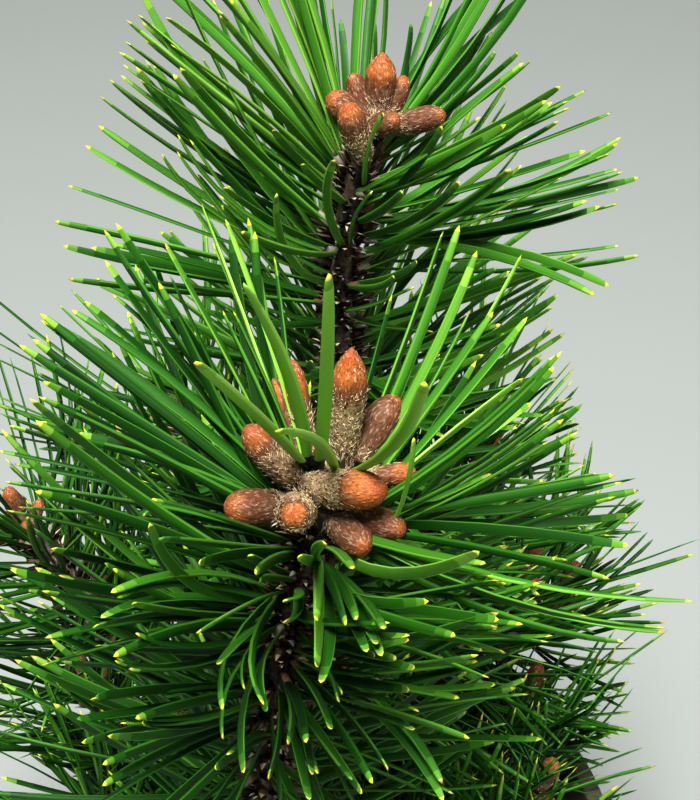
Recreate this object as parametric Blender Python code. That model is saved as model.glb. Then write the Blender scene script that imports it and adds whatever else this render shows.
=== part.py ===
"""A young dwarf mountain pine in a round nursery pot, as separate closed solids.

The plant stands in the pot's soil. A trunk runs up to the leading shoot, boughs leave the trunk in two
loose whorls and turn upwards, and each bough ends in one to three shoots. A shoot is one solid: a woody
stem, needles set round it by the golden angle, and a cluster of winter buds on its end.

Metres, +Z up. The origin is the centre of the pot's flat underside. A turn is an angle about the trunk,
in degrees from +X towards +Y, so the front of the plant is at 270. A lean is an angle from upright.
"""

import math
import random
from dataclasses import dataclass

import bmesh
import bpy
from mathutils import Matrix, Vector

SEED = 41
GAP = 0.0003
SHARP_EDGE = math.radians(40)
MERGE = 1e-6

# The pot
POT_HEIGHT = 0.125
POT_RIM_RADIUS = 0.070
POT_FOOT_RADIUS = 0.050
POT_WALL = 0.0018
POT_FLOOR = 0.0025
POT_SIDES = 40
LIP_HEIGHT = 0.010
LIP_OVERHANG = 0.0028
LIP_ROUND = 0.0016
FOOT_CHAMFER = 0.0015
DRAINS = 8
DRAIN_INNER_RADIUS = 0.029
DRAIN_OUTER_RADIUS = 0.038

# The soil
SOIL_TOP = 0.115
SOIL_FLAT_RADIUS = 0.016
SOIL_RINGS = (0.030, 0.046, 0.058)
SOIL_LUMP = 0.0014

# The trunk
TRUNK_TOP = Vector((0.0015, 0.0, 0.212))
TRUNK_RADIUS = 0.0075
TRUNK_TIP_RADIUS = 0.0036
FLARE_RADIUS = 0.0115
FLARE_HEIGHT = 0.014
TRUNK_SIDES = 16
TRUNK_STEPS = 10
TRUNK_BOW = 0.0035
SPRAYS = 4
SPRAY_FIRST_TURN = 0
SPRAY_HEIGHTS = (0.186, 0.207)
SPRAY_REACH = 0.023
SPRAY_RISE = 0.015
SPRAY_BUD = 0.007
SPRAY_NEEDLES = 13

# The boughs
BOUGH_ROOT_RADIUS = 0.0037
BOUGH_TIP_RADIUS = 0.0029
BOUGH_SIDES = 7
BOUGH_STEPS = 7
BOUGH_SETTING_OUT = 0.45
BOUGH_SOCKET = 0.0010

# The shoots
STEM_RADIUS = 0.0027
STEM_COLLAR = 0.0010
STEM_COLLAR_LENGTH = 0.004
STEM_SIDES = 5
STEM_STEPS = 4
STEM_HANDLE = 0.35
SIDE_SHOOT_BELOW_TIP = 0.0035
SIDE_SHOOT_OUT = 0.75
SIDE_SHOOT_ALONG = 0.65
SHOOT_LEAN = 25

# The needles
NEEDLE_LENGTH = 0.050
NEEDLE_LENGTH_SPREAD = (0.9, 1.06)
NEEDLE_RADIUS = 0.0016
NEEDLE_SIDES = 3
NEEDLE_SHOULDER = 0.68
NEEDLE_BEND = 0.09
NEEDLE_LENGTHS_TRIED = (1.0, 0.84, 0.68)
NEEDLE_LIFTS_TRIED = (0, 16, 32)
LOW_NEEDLE_ANGLE = 88
TOP_NEEDLE_ANGLE = 46
NEEDLE_ANGLE_SPREAD = 0.09
NEEDLE_SPIN_SPREAD = 0.2
LOWEST_NEEDLE = 0.12
HIGHEST_NEEDLE = 0.98
GOLDEN_ANGLE = math.radians(137.5)
SHAFT_CHECKS = (0.2, 0.4, 0.6, 0.8, 1.0)
POINT_CHECKS = (0.5, 1.0)

# The room that needles keep
CROWN_RIGHT = 0.0925
CROWN_LOWEST = 0.105
RIM_CLEARANCE = 0.004
POT_TOP_CLEARANCE = 0.001
WOOD_CLEARANCE = 0.0006
NEEDLE_CLEARANCE = 0.0002

# The winter buds
BUD_STATIONS = ((-0.25, 0.75), (0.30, 1.0), (0.72, 0.72), (1.0, 0.0))
BUD_SIDES = 6
SMALL_BUD_SIDES = 5
SMALL_BUD_WIDTH = 0.48
SIDE_BUD = 0.0065
SIDE_BUD_LEAN = 48
SIDE_BUD_LEAN_SPREAD = 9
SIDE_BUD_TURN_SPREAD = 0.12
BUD_UPRIGHT = 0.8
BUD_TIER = 0.0022
BUD_SET_OUT = 0.0012
MAIN_BUD_SET_OUT = 0.0026

Z = Vector((0.0, 0.0, 1.0))


@dataclass(frozen=True)
class Bud:
    """A winter bud of a main cluster: the turn and the lean of its way, and its size."""

    turn: float
    lean: float
    length: float
    width: float


@dataclass(frozen=True)
class Shoot:
    """A shoot: where its end stands about the trunk, how it leans there, its needles and its buds.

    A main shoot has a table of buds. Any other has an end bud over a ring of side buds.
    """

    name: str
    turn: float
    reach: float
    height: float
    needles: int = 34
    lean: float = SHOOT_LEAN
    lean_turn: float | None = None
    buds: tuple = ()
    end_bud: float = 0.011
    side_buds: int = 3


@dataclass(frozen=True)
class Bough:
    """A bough: where it leaves the trunk, where it ends, and the shoots that grow on from its end."""

    name: str
    turn: float
    leaves: float
    reach: float
    height: float
    shoots: tuple
    end_turn: float | None = None


LEADER_BUDS = (
    Bud(20, 4, 0.0150, 0.0054),
    Bud(150, 22, 0.0098, 0.0040),
    Bud(28, 28, 0.0098, 0.0038),
    Bud(188, 44, 0.0108, 0.0054),
    Bud(228, 18, 0.0130, 0.0050),
    Bud(341, 66, 0.0120, 0.0046),
    Bud(323, 54, 0.0082, 0.0042),
    Bud(88, 52, 0.0095, 0.0042),
)
FRONT_BUDS = (
    Bud(38, 5, 0.0205, 0.0052),
    Bud(176, 36, 0.0126, 0.0049),
    Bud(208, 65, 0.0112, 0.0055),
    Bud(264, 50, 0.0088, 0.0056),
    Bud(326, 65, 0.0148, 0.0057),
    Bud(34, 42, 0.0112, 0.0051),
    Bud(350, 70, 0.0085, 0.0040),
    Bud(320, 75, 0.0120, 0.0046),
    Bud(298, 74, 0.0100, 0.0049),
    Bud(112, 26, 0.0150, 0.0036),
    Bud(85, 58, 0.0100, 0.0046),
)
LEADER = Shoot("shoot_leader", 0, 0.005, 0.330, 54, 14, buds=LEADER_BUDS)
BOUGHS = (
    Bough(
        "bough_front",
        262,
        0.147,
        0.060,
        0.198,
        (Shoot("shoot_front", 269.3, 0.079, 0.318, 56, 16, -20, FRONT_BUDS),),
        259,
    ),
    Bough(
        "bough_back_high",
        88,
        0.178,
        0.028,
        0.196,
        (
            Shoot("shoot_back_high", 86, 0.046, 0.250, 30),
            Shoot("shoot_back_high_left", 128, 0.062, 0.224),
            Shoot("shoot_back_high_right", 54, 0.061, 0.216),
        ),
    ),
    Bough("bough_left_high", 166, 0.166, 0.045, 0.180, (Shoot("shoot_left_high", 165.8, 0.0735, 0.219),)),
    Bough("bough_right_high", 29, 0.154, 0.029, 0.163, (Shoot("shoot_right_high", 28.6, 0.050, 0.196),)),
    Bough(
        "bough_left_low",
        184,
        0.137,
        0.034,
        0.140,
        (Shoot("shoot_left_low", 173, 0.060, 0.175), Shoot("shoot_left_low_front", 206, 0.063, 0.163)),
    ),
    Bough(
        "bough_right_low",
        6,
        0.131,
        0.025,
        0.134,
        (Shoot("shoot_right_low", 23, 0.051, 0.157), Shoot("shoot_right_low_front", 350, 0.048, 0.157)),
    ),
    Bough("bough_front_left", 232, 0.130, 0.034, 0.137, (Shoot("shoot_front_left", 242, 0.057, 0.170),)),
    Bough(
        "bough_front_right",
        300,
        0.134,
        0.028,
        0.138,
        (Shoot("shoot_front_low", 288, 0.046, 0.172), Shoot("shoot_front_right", 310, 0.060, 0.158)),
    ),
    Bough(
        "bough_back_right",
        55,
        0.135,
        0.042,
        0.141,
        (Shoot("shoot_back_right", 37, 0.072, 0.168), Shoot("shoot_back", 73, 0.077, 0.172)),
    ),
    Bough(
        "bough_back_left",
        124,
        0.138,
        0.041,
        0.142,
        (Shoot("shoot_back_left", 103, 0.078, 0.170), Shoot("shoot_back_far_left", 141, 0.073, 0.172)),
    ),
)


def polar(turn, reach, height):
    """The point at a turn about the trunk, a reach out from it and a height."""
    angle = math.radians(turn)
    return Vector((reach * math.cos(angle), reach * math.sin(angle), height))


def leaning(turn, lean):
    """The way that leans from upright towards a turn."""
    angle = math.radians(lean)
    return polar(turn, math.sin(angle), math.cos(angle))


def material(name, colour, roughness):
    """A plain Principled material."""
    mat = bpy.data.materials.new(name)
    mat.use_nodes = True
    shader = mat.node_tree.nodes["Principled BSDF"]
    shader.inputs["Base Color"].default_value = (*colour, 1.0)
    shader.inputs["Roughness"].default_value = roughness
    shader.inputs["Metallic"].default_value = 0.0
    return mat


def finish(bm, name, mat):
    """Makes a finished bmesh into an object of the scene, with outward normals."""
    bmesh.ops.recalc_face_normals(bm, faces=bm.faces)
    mesh = bpy.data.meshes.new(name)
    bm.to_mesh(mesh)
    bm.free()
    mesh.materials.append(mat)
    mesh.shade_smooth()
    mesh.set_sharp_from_angle(angle=SHARP_EDGE)
    ob = bpy.data.objects.new(name, mesh)
    bpy.context.scene.collection.objects.link(ob)
    return ob


def turned(profile, sides):
    """A bmesh turned about Z from a profile that starts and ends on the axis."""
    bm = bmesh.new()
    verts = [bm.verts.new((r, 0.0, z)) for r, z in profile]
    edges = [bm.edges.new(pair) for pair in zip(verts, verts[1:])]
    bmesh.ops.spin(
        bm, geom=verts + edges, axis=Z, cent=(0, 0, 0), angle=math.tau, steps=sides, use_merge=True
    )
    bmesh.ops.remove_doubles(bm, verts=bm.verts, dist=MERGE)
    return bm


def curve(start, leave, arrive, end, steps):
    """Points along a cubic Bezier from start to end, by its two inner handles."""
    points = []
    for i in range(steps + 1):
        t = i / steps
        s = 1 - t
        points.append(s**3 * start + 3 * s * s * t * leave + 3 * s * t * t * arrive + t**3 * end)
    return points


def directions(points):
    """The direction of travel at each point of a path."""
    ends = [points[0], *points, points[-1]]
    return [(after - before).normalized() for before, after in zip(ends, ends[2:])]


def sweep(bm, points, radii, sides):
    """Extrudes a disc along a path. A last radius of 0 draws the end together to a point."""
    ways = directions(points)
    turn = Z.rotation_difference(ways[0])
    place = Matrix.Translation(points[0]) @ turn.to_matrix().to_4x4()
    rim = bmesh.ops.create_circle(bm, cap_ends=True, segments=sides, radius=radii[0], matrix=place)["verts"]
    face = next(f for f in rim[0].link_faces if all(v in rim for v in f.verts))
    for i in range(1, len(points)):
        grown = bmesh.ops.extrude_face_region(bm, geom=[face])["geom"]
        if i > 1:
            bmesh.ops.delete(bm, geom=[face], context="FACES_ONLY")
        rim = [g for g in grown if isinstance(g, bmesh.types.BMVert)]
        face = next(g for g in grown if isinstance(g, bmesh.types.BMFace))
        if radii[i] == 0:
            bmesh.ops.pointmerge(bm, verts=rim, merge_co=points[i])
            return
        swing = ways[i - 1].rotation_difference(ways[i]).to_matrix().to_4x4()
        move = Matrix.Translation(points[i]) @ swing @ Matrix.Scale(radii[i] / radii[i - 1], 4)
        bmesh.ops.transform(bm, verts=rim, matrix=move @ Matrix.Translation(-points[i - 1]))


def segment_distance(point, a, b):
    """How far a point lies from the segment between a and b."""
    along = b - a
    t = max(0.0, min(1.0, (point - a).dot(along) / along.length_squared))
    return (point - a - t * along).length


def path_distance(point, points):
    """How far a point lies from a path."""
    return min(segment_distance(point, a, b) for a, b in zip(points, points[1:]))


def pot_radius(z):
    """The radius of the pot's outer wall at a height, below its lip."""
    top = POT_RIM_RADIUS - LIP_OVERHANG
    return POT_FOOT_RADIUS + (top - POT_FOOT_RADIUS) * z / POT_HEIGHT


def pierce(bm, turn):
    """Opens one drain: takes a face out of each side of the floor and walls the hole between them."""
    middle = (DRAIN_INNER_RADIUS + DRAIN_OUTER_RADIUS) / 2
    faces = []
    for z in (0.0, POT_FLOOR):
        spot = polar(turn, middle, z)
        faces.append(min(bm.faces, key=lambda f: (f.calc_center_median() - spot).length))
    rims = [edge for face in faces for edge in face.edges]
    bmesh.ops.delete(bm, geom=faces, context="FACES_ONLY")
    bmesh.ops.bridge_loops(bm, edges=rims)


def make_pot(mat):
    """The pot: a tapered wall with a rolled lip, a flat underside and drains through its floor."""
    lip_foot = POT_HEIGHT - LIP_HEIGHT
    wall_top = pot_radius(POT_HEIGHT)
    profile = (
        (0.0, 0.0),
        (DRAIN_INNER_RADIUS, 0.0),
        (DRAIN_OUTER_RADIUS, 0.0),
        (POT_FOOT_RADIUS - FOOT_CHAMFER, 0.0),
        (POT_FOOT_RADIUS, FOOT_CHAMFER),
        (pot_radius(lip_foot), lip_foot),
        (POT_RIM_RADIUS - LIP_ROUND / 2, lip_foot + LIP_ROUND / 4),
        (POT_RIM_RADIUS, lip_foot + LIP_ROUND),
        (POT_RIM_RADIUS, POT_HEIGHT - LIP_ROUND),
        (POT_RIM_RADIUS - LIP_ROUND / 2, POT_HEIGHT),
        (wall_top - POT_WALL + LIP_ROUND / 2, POT_HEIGHT),
        (wall_top - POT_WALL, POT_HEIGHT - LIP_ROUND),
        (pot_radius(POT_FLOOR) - POT_WALL, POT_FLOOR),
        (DRAIN_OUTER_RADIUS, POT_FLOOR),
        (DRAIN_INNER_RADIUS, POT_FLOOR),
        (0.0, POT_FLOOR),
    )
    bm = turned(profile, POT_SIDES)
    side = 360 / POT_SIDES
    for i in range(DRAINS):
        pierce(bm, side * (i * POT_SIDES // DRAINS + 0.5))
    return finish(bm, "pot", mat)


def make_soil(mat):
    """The soil that fills the pot, clear of its wall and floor, lumpy but flat round the trunk."""
    inset = POT_WALL + GAP
    foot = POT_FLOOR + GAP
    profile = [
        (0.0, foot),
        (pot_radius(foot) - inset, foot),
        (pot_radius(SOIL_TOP) - inset, SOIL_TOP),
        *((r, SOIL_TOP) for r in reversed(SOIL_RINGS)),
        (SOIL_FLAT_RADIUS, SOIL_TOP),
        (0.0, SOIL_TOP),
    ]
    bm = turned(profile, POT_SIDES)
    rng = random.Random(SEED)
    for vert in bm.verts:
        out = vert.co.xy.length
        if vert.co.z > SOIL_TOP - GAP and SOIL_FLAT_RADIUS + GAP < out < max(SOIL_RINGS) + GAP:
            vert.co.z += rng.uniform(-SOIL_LUMP, SOIL_LUMP)
    return finish(bm, "soil", mat)


def trunk_axis():
    """The trunk's path from the soil up to the leading shoot, with a slight bow."""
    start = Vector((0.0, 0.0, SOIL_TOP + GAP))
    rise = (TRUNK_TOP.z - start.z) / 3
    return curve(
        start,
        start + Vector((0.0, 0.0, rise)),
        TRUNK_TOP - Vector((TRUNK_BOW, 0.0, rise)),
        TRUNK_TOP,
        TRUNK_STEPS,
    )


def trunk_radius(z):
    """The trunk's radius at a height: a straight taper, and a flare at the soil."""
    rise = (z - SOIL_TOP) / (TRUNK_TOP.z - SOIL_TOP)
    taper = TRUNK_RADIUS + (TRUNK_TIP_RADIUS - TRUNK_RADIUS) * rise
    flare = max(0.0, 1 - (z - SOIL_TOP) / FLARE_HEIGHT)
    return taper + (FLARE_RADIUS - TRUNK_RADIUS) * flare * flare


def make_trunk(mat):
    """The trunk, cut flat at the soil."""
    axis = trunk_axis()
    bm = bmesh.new()
    sweep(bm, axis, [trunk_radius(p.z) for p in axis], TRUNK_SIDES)
    return finish(bm, "trunk", mat)


def trunk_at(z):
    """The point on the trunk's axis at a height, and the radius of its faceted side there."""
    axis = trunk_axis()
    low, high = next(pair for pair in zip(axis, axis[1:]) if pair[1].z >= z)
    t = (z - low.z) / (high.z - low.z)
    return low.lerp(high, t), trunk_radius(low.z) * (1 - t) + trunk_radius(high.z) * t


def bough_axis(bough):
    """A bough's path: it leaves the trunk level, square to its side, and turns up towards its end."""
    way = polar(bough.turn, 1.0, 0.0)
    centre = trunk_at(bough.leaves)[0]
    widest = trunk_at(bough.leaves - BOUGH_ROOT_RADIUS)[1]
    start = centre + way * (widest + GAP)
    end_turn = bough.turn if bough.end_turn is None else bough.end_turn
    end = polar(end_turn, bough.reach, bough.height)
    span = (end - start).length
    rise = (Z + (end - start).normalized()).normalized()
    handles = start + way * span * BOUGH_SETTING_OUT, end - rise * span * (1 - BOUGH_SETTING_OUT)
    points = curve(start, *handles, end, BOUGH_STEPS)
    return [start, start + way * BOUGH_SOCKET, *points[1:]]


def make_bough(bough, mat):
    """One tapering bough."""
    axis = bough_axis(bough)
    taper = (BOUGH_TIP_RADIUS - BOUGH_ROOT_RADIUS) / (len(axis) - 1)
    radii = [BOUGH_ROOT_RADIUS + taper * i for i in range(len(axis))]
    bm = bmesh.new()
    sweep(bm, axis, radii, BOUGH_SIDES)
    return finish(bm, bough.name, mat)


def shoot_axis(shoot, carrier, radius, way):
    """A shoot's path from the limb that carries it to its buds.

    carrier is a point on the limb's axis and way the limb's direction there. With a radius, the limb's own,
    the shoot starts at the limb's side. With a radius of 0 it grows on from the limb's end.
    """
    bud = polar(shoot.turn, shoot.reach, shoot.height)
    if radius == 0:
        start = carrier + way * GAP
        leave = way
    else:
        out = (bud - carrier) - (bud - carrier).dot(way) * way
        out.normalize()
        start = carrier + out * (radius + GAP + STEM_COLLAR)
        leave = (SIDE_SHOOT_OUT * out + SIDE_SHOOT_ALONG * way).normalized()
    handle = (bud - start).length * STEM_HANDLE
    arrive = leaning(shoot.turn if shoot.lean_turn is None else shoot.lean_turn, shoot.lean)
    return curve(start, start + leave * handle, bud - arrive * handle, bud, STEM_STEPS)


@dataclass(frozen=True)
class Space:
    """The room that one shoot's needles may fill: nearer to it than to any other, and clear of the wood."""

    own: list
    others: list
    wood: list

    def holds(self, point, half):
        """True if a needle of this half width may pass through the point."""
        over_pot = point.xy.length < POT_RIM_RADIUS + RIM_CLEARANCE
        if over_pot and point.z < POT_HEIGHT + half + POT_TOP_CLEARANCE:
            return False
        if point.z < CROWN_LOWEST or point.x > CROWN_RIGHT:
            return False
        near = path_distance(point, self.own)
        for other in self.others:
            away = path_distance(point, other)
            if away < near + 2 * (half + NEEDLE_CLEARANCE) or away < STEM_RADIUS + 2 * half:
                return False
        clear = half + WOOD_CLEARANCE
        return all(path_distance(point, path) > radius + clear for path, radius in self.wood)


def along(points, t):
    """The point, and the direction, at a share t of a path's steps."""
    steps = len(points) - 1
    i = min(int(t * steps), steps - 1)
    return points[i].lerp(points[i + 1], t * steps - i), (points[i + 1] - points[i]).normalized()


def needle_path(root, way, axis, length):
    """A needle's path: out from the stem, bent a little towards the shoot's tip."""
    shoulder = root + way * length * NEEDLE_SHOULDER
    tip = root + way * length + axis * length * NEEDLE_BEND
    return [root, shoulder, tip]


def add_piece(made, group, mat):
    """Links one loose solid of a shoot, given as its bmesh, into the shoot's group."""
    ob = finish(made, f"{group.name}_piece", mat)
    bpy.context.scene.collection.objects.unlink(ob)
    group.objects.link(ob)
    return ob


def add_bud(foot, way, length, width, sides, group, mat):
    """A pointed bud, fattest below its middle, with its foot sunk in the shoot's end."""
    bm = bmesh.new()
    points = [foot + way * length * t for t, _ in BUD_STATIONS]
    sweep(bm, points, [width / 2 * girth for _, girth in BUD_STATIONS], sides)
    add_piece(bm, group, mat)


def fitting_needle(root, up, out, angle, length, space):
    """The longest and lowest needle from a root that keeps to its space, or None."""
    for share in NEEDLE_LENGTHS_TRIED:
        for lift in NEEDLE_LIFTS_TRIED:
            lifted = angle - math.radians(lift)
            way = out * math.sin(lifted) + up * math.cos(lifted)
            path = needle_path(root, way, up, length * share)
            shoulder, tip = path[1:]
            tests = [root.lerp(shoulder, s) for s in SHAFT_CHECKS]
            tests += [shoulder.lerp(tip, s) for s in POINT_CHECKS]
            if all(space.holds(p, NEEDLE_RADIUS) for p in tests):
                return path
    return None


def add_needles(shoot, axis, space, rng, group, mat):
    """Sets needles round a stem by the golden angle, and skips those that would leave the shoot's space."""
    side = (axis[1] - axis[0]).orthogonal()
    for i in range(shoot.needles):
        t = LOWEST_NEEDLE + (HIGHEST_NEEDLE - LOWEST_NEEDLE) * (i + 0.5) / shoot.needles
        root, up = along(axis, t)
        angle = math.radians(LOW_NEEDLE_ANGLE + (TOP_NEEDLE_ANGLE - LOW_NEEDLE_ANGLE) * t**2)
        angle += rng.uniform(-NEEDLE_ANGLE_SPREAD, NEEDLE_ANGLE_SPREAD)
        turn = GOLDEN_ANGLE * i + rng.uniform(-NEEDLE_SPIN_SPREAD, NEEDLE_SPIN_SPREAD)
        out = Matrix.Rotation(turn, 3, up) @ (side - side.dot(up) * up).normalized()
        length = NEEDLE_LENGTH * rng.uniform(*NEEDLE_LENGTH_SPREAD)
        path = fitting_needle(root, up, out, angle, length, space)
        if path is not None:
            bm = bmesh.new()
            sweep(bm, path, (NEEDLE_RADIUS, NEEDLE_RADIUS, 0), NEEDLE_SIDES)
            add_piece(bm, group, mat)


def add_main_buds(shoot, end, up, group, mat):
    """The buds of a main cluster: the first on the shoot's end, the others out round it in two tiers."""
    for i, bud in enumerate(shoot.buds):
        way = leaning(bud.turn, bud.lean)
        foot = end
        if i:
            out = (way - way.dot(up) * up).normalized()
            foot = end + out * MAIN_BUD_SET_OUT - up * BUD_TIER * (i % 2)
        add_bud(foot, way, bud.length, bud.width, BUD_SIDES, group, mat)


def add_side_buds(shoot, end, up, rng, group, mat):
    """An end bud, and a ring of smaller buds leaning out round it."""
    add_bud(end, up, shoot.end_bud, shoot.end_bud * SMALL_BUD_WIDTH, SMALL_BUD_SIDES, group, mat)
    side = up.orthogonal().normalized()
    for i in range(shoot.side_buds):
        turn = math.tau * (i + rng.uniform(-SIDE_BUD_TURN_SPREAD, SIDE_BUD_TURN_SPREAD)) / shoot.side_buds
        out = Matrix.Rotation(turn, 3, up) @ side
        lean = math.radians(SIDE_BUD_LEAN + rng.uniform(-SIDE_BUD_LEAN_SPREAD, SIDE_BUD_LEAN_SPREAD))
        way = out * math.sin(lean) + up * math.cos(lean)
        foot = end - up * BUD_TIER * (1 + i % 2) + out * BUD_SET_OUT
        add_bud(foot, way, SIDE_BUD, SIDE_BUD * SMALL_BUD_WIDTH, SMALL_BUD_SIDES, group, mat)


def make_shoot(shoot, axis, space, green):
    """One shoot: its stem with needles and buds joined to it by one union."""
    rng = random.Random(f"{SEED}{shoot.name}")
    group = bpy.data.collections.new(shoot.name)
    bpy.context.scene.collection.children.link(group)
    collar_end = axis[0] + (axis[1] - axis[0]).normalized() * STEM_COLLAR_LENGTH
    bm = bmesh.new()
    sweep(bm, [axis[0], collar_end, *axis[1:]], [STEM_COLLAR] + [STEM_RADIUS] * len(axis), STEM_SIDES)
    stem = finish(bm, shoot.name, green)
    add_needles(shoot, axis, space, rng, group, green)
    up = ((axis[-1] - axis[-2]).normalized() + BUD_UPRIGHT * Z).normalized()
    if shoot.buds:
        add_main_buds(shoot, axis[-1], up, group, green)
    else:
        add_side_buds(shoot, axis[-1], up, rng, group, green)
    join = stem.modifiers.new("join", "BOOLEAN")
    join.operation = "UNION"
    join.operand_type = "COLLECTION"
    join.collection = group
    join.solver = "EXACT"
    joined = bpy.data.meshes.new_from_object(stem.evaluated_get(bpy.context.evaluated_depsgraph_get()))
    stem.modifiers.clear()
    stem.data = joined
    for ob in list(group.objects):
        bpy.data.objects.remove(ob)
    bpy.data.collections.remove(group)
    return stem


def trunk_sprays():
    """The short shoots that grow straight out of the upper trunk, with the heights where they do."""
    low, high = SPRAY_HEIGHTS
    sprays = []
    for i in range(SPRAYS):
        height = low + (high - low) * i / (SPRAYS - 1)
        turn = SPRAY_FIRST_TURN + math.degrees(GOLDEN_ANGLE) * i
        place = (turn, SPRAY_REACH, height + SPRAY_RISE)
        shoot = Shoot(f"spray_trunk_{i + 1}", *place, SPRAY_NEEDLES, end_bud=SPRAY_BUD, side_buds=0)
        sprays.append((shoot, height))
    return sprays


def shoot_paths():
    """Every shoot with its path."""
    trunk = trunk_axis()
    top = (trunk[-1] - trunk[-2]).normalized()
    paths = {LEADER: shoot_axis(LEADER, trunk[-1], 0, top)}
    for spray, height in trunk_sprays():
        paths[spray] = shoot_axis(spray, *trunk_at(height), Z)
    for bough in BOUGHS:
        axis = bough_axis(bough)
        way = (axis[-1] - axis[-2]).normalized()
        paths[bough.shoots[0]] = shoot_axis(bough.shoots[0], axis[-1], 0, way)
        for shoot in bough.shoots[1:]:
            fork = axis[-1] - way * SIDE_SHOOT_BELOW_TIP
            paths[shoot] = shoot_axis(shoot, fork, BOUGH_TIP_RADIUS, way)
    return paths


def main():
    """Clears the scene and makes the pot, the soil, the wood and the shoots."""
    for ob in list(bpy.data.objects):
        bpy.data.objects.remove(ob)
    plastic = material("pot_plastic", (0.055, 0.045, 0.034), 0.5)
    earth = material("soil", (0.035, 0.022, 0.014), 0.95)
    bark = material("bark", (0.09, 0.06, 0.04), 0.9)
    green = material("foliage", (0.05, 0.16, 0.03), 0.45)
    make_pot(plastic)
    make_soil(earth)
    make_trunk(bark)
    for bough in BOUGHS:
        make_bough(bough, bark)
    wood = [(trunk_axis(), TRUNK_RADIUS)] + [(bough_axis(b), BOUGH_ROOT_RADIUS) for b in BOUGHS]
    paths = shoot_paths()
    for shoot, axis in paths.items():
        others = [path for other, path in paths.items() if other != shoot]
        make_shoot(shoot, axis, Space(axis, others, wood), green)


main()
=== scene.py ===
"""The looks of a young dwarf mountain pine in a round nursery pot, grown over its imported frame.

Lengths are metres, +Z is up and the origin is the centre of the pot's underside. A turn is an angle
about the trunk in degrees from +X towards +Y, so the front of the plant is at 270.

The trunk, the boughs and the shoots' stems follow the frame's own rule. On every stem the needles stand
in twos, in the golden-angle spiral of the frame but closer set, each pair in its sheath and over its
papery scale. Small things are closed shapes drawn along a bent line and gathered into a few meshes.
"""

import logging
import math
import random
from dataclasses import dataclass, field, replace
from enum import Enum
from itertools import accumulate

import bmesh
import bpy
import numpy as np
from mathutils import Matrix, Vector, noise


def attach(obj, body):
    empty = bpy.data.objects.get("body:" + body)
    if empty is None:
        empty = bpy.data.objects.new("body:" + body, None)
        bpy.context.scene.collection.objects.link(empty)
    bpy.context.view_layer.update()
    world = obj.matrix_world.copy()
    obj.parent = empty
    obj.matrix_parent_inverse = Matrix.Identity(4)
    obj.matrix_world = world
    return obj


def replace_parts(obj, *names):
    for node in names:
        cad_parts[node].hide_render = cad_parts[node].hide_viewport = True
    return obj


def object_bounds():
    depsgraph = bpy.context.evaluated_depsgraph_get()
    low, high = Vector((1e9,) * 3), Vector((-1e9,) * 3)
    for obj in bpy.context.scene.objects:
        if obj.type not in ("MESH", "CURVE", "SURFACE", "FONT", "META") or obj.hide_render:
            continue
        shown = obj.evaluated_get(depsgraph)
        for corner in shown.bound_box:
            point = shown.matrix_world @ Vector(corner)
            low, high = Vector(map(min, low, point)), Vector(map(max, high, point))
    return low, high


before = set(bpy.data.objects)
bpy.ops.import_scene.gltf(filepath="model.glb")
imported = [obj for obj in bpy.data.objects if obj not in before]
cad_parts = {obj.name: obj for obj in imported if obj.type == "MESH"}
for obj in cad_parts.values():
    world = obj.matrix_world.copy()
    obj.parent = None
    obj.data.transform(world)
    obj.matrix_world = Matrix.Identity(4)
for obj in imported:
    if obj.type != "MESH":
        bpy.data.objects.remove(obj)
CAD_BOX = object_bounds()

log = logging.getLogger("potted_pine")
MM = 0.001
SEED = 7
GOLDEN_ANGLE = math.radians(137.5)
SHARP_EDGE = math.radians(38)
Z = Vector((0.0, 0.0, 1.0))
BODY = "root"
Colour = tuple[float, float, float]
Socket = bpy.types.NodeSocket
Span = tuple[float, float]


# ---- shader nodes


class Value:
    """A number that changes over a surface: wraps a socket so that maths on it adds Math nodes."""

    def __init__(self, graph: "Graph", socket: Socket) -> None:
        """Keeps the graph and the socket."""
        self.graph = graph
        self.socket = socket

    def math(self, operation: str, *others: "Value | float", clamp: bool = False) -> "Value":
        """Adds a Math node.

        Args:
            operation: The node's operation.
            others: What follows this value in the operation.
            clamp: Whether the result is kept between 0 and 1.

        Returns:
            The result as a value.
        """
        settings = {"operation": operation, "use_clamp": clamp}
        node = self.graph.node("ShaderNodeMath", settings, dict(enumerate((self, *others))))
        return Value(self.graph, node.outputs[0])

    def __add__(self, other: "Value | float") -> "Value":
        """This value plus another."""
        return self.math("ADD", other)

    def __mul__(self, other: "Value | float") -> "Value":
        """This value times another."""
        return self.math("MULTIPLY", other)

    def __sub__(self, other: "Value | float") -> "Value":
        """This value less another."""
        return self.math("SUBTRACT", other)

    def __rsub__(self, other: float) -> "Value":
        """A number less this value."""
        return self.math("MULTIPLY", -1.0) + other

    def above(self, level: float, slope: float) -> "Value":
        """How far this value stands above a level, times a slope, kept between 0 and 1."""
        return ((self - level) * slope).math("ADD", 0.0, clamp=True)

    def below(self, level: float, slope: float) -> "Value":
        """How far this value stands below a level, times a slope, kept between 0 and 1."""
        return ((level - self) * slope).math("ADD", 0.0, clamp=True)


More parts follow.
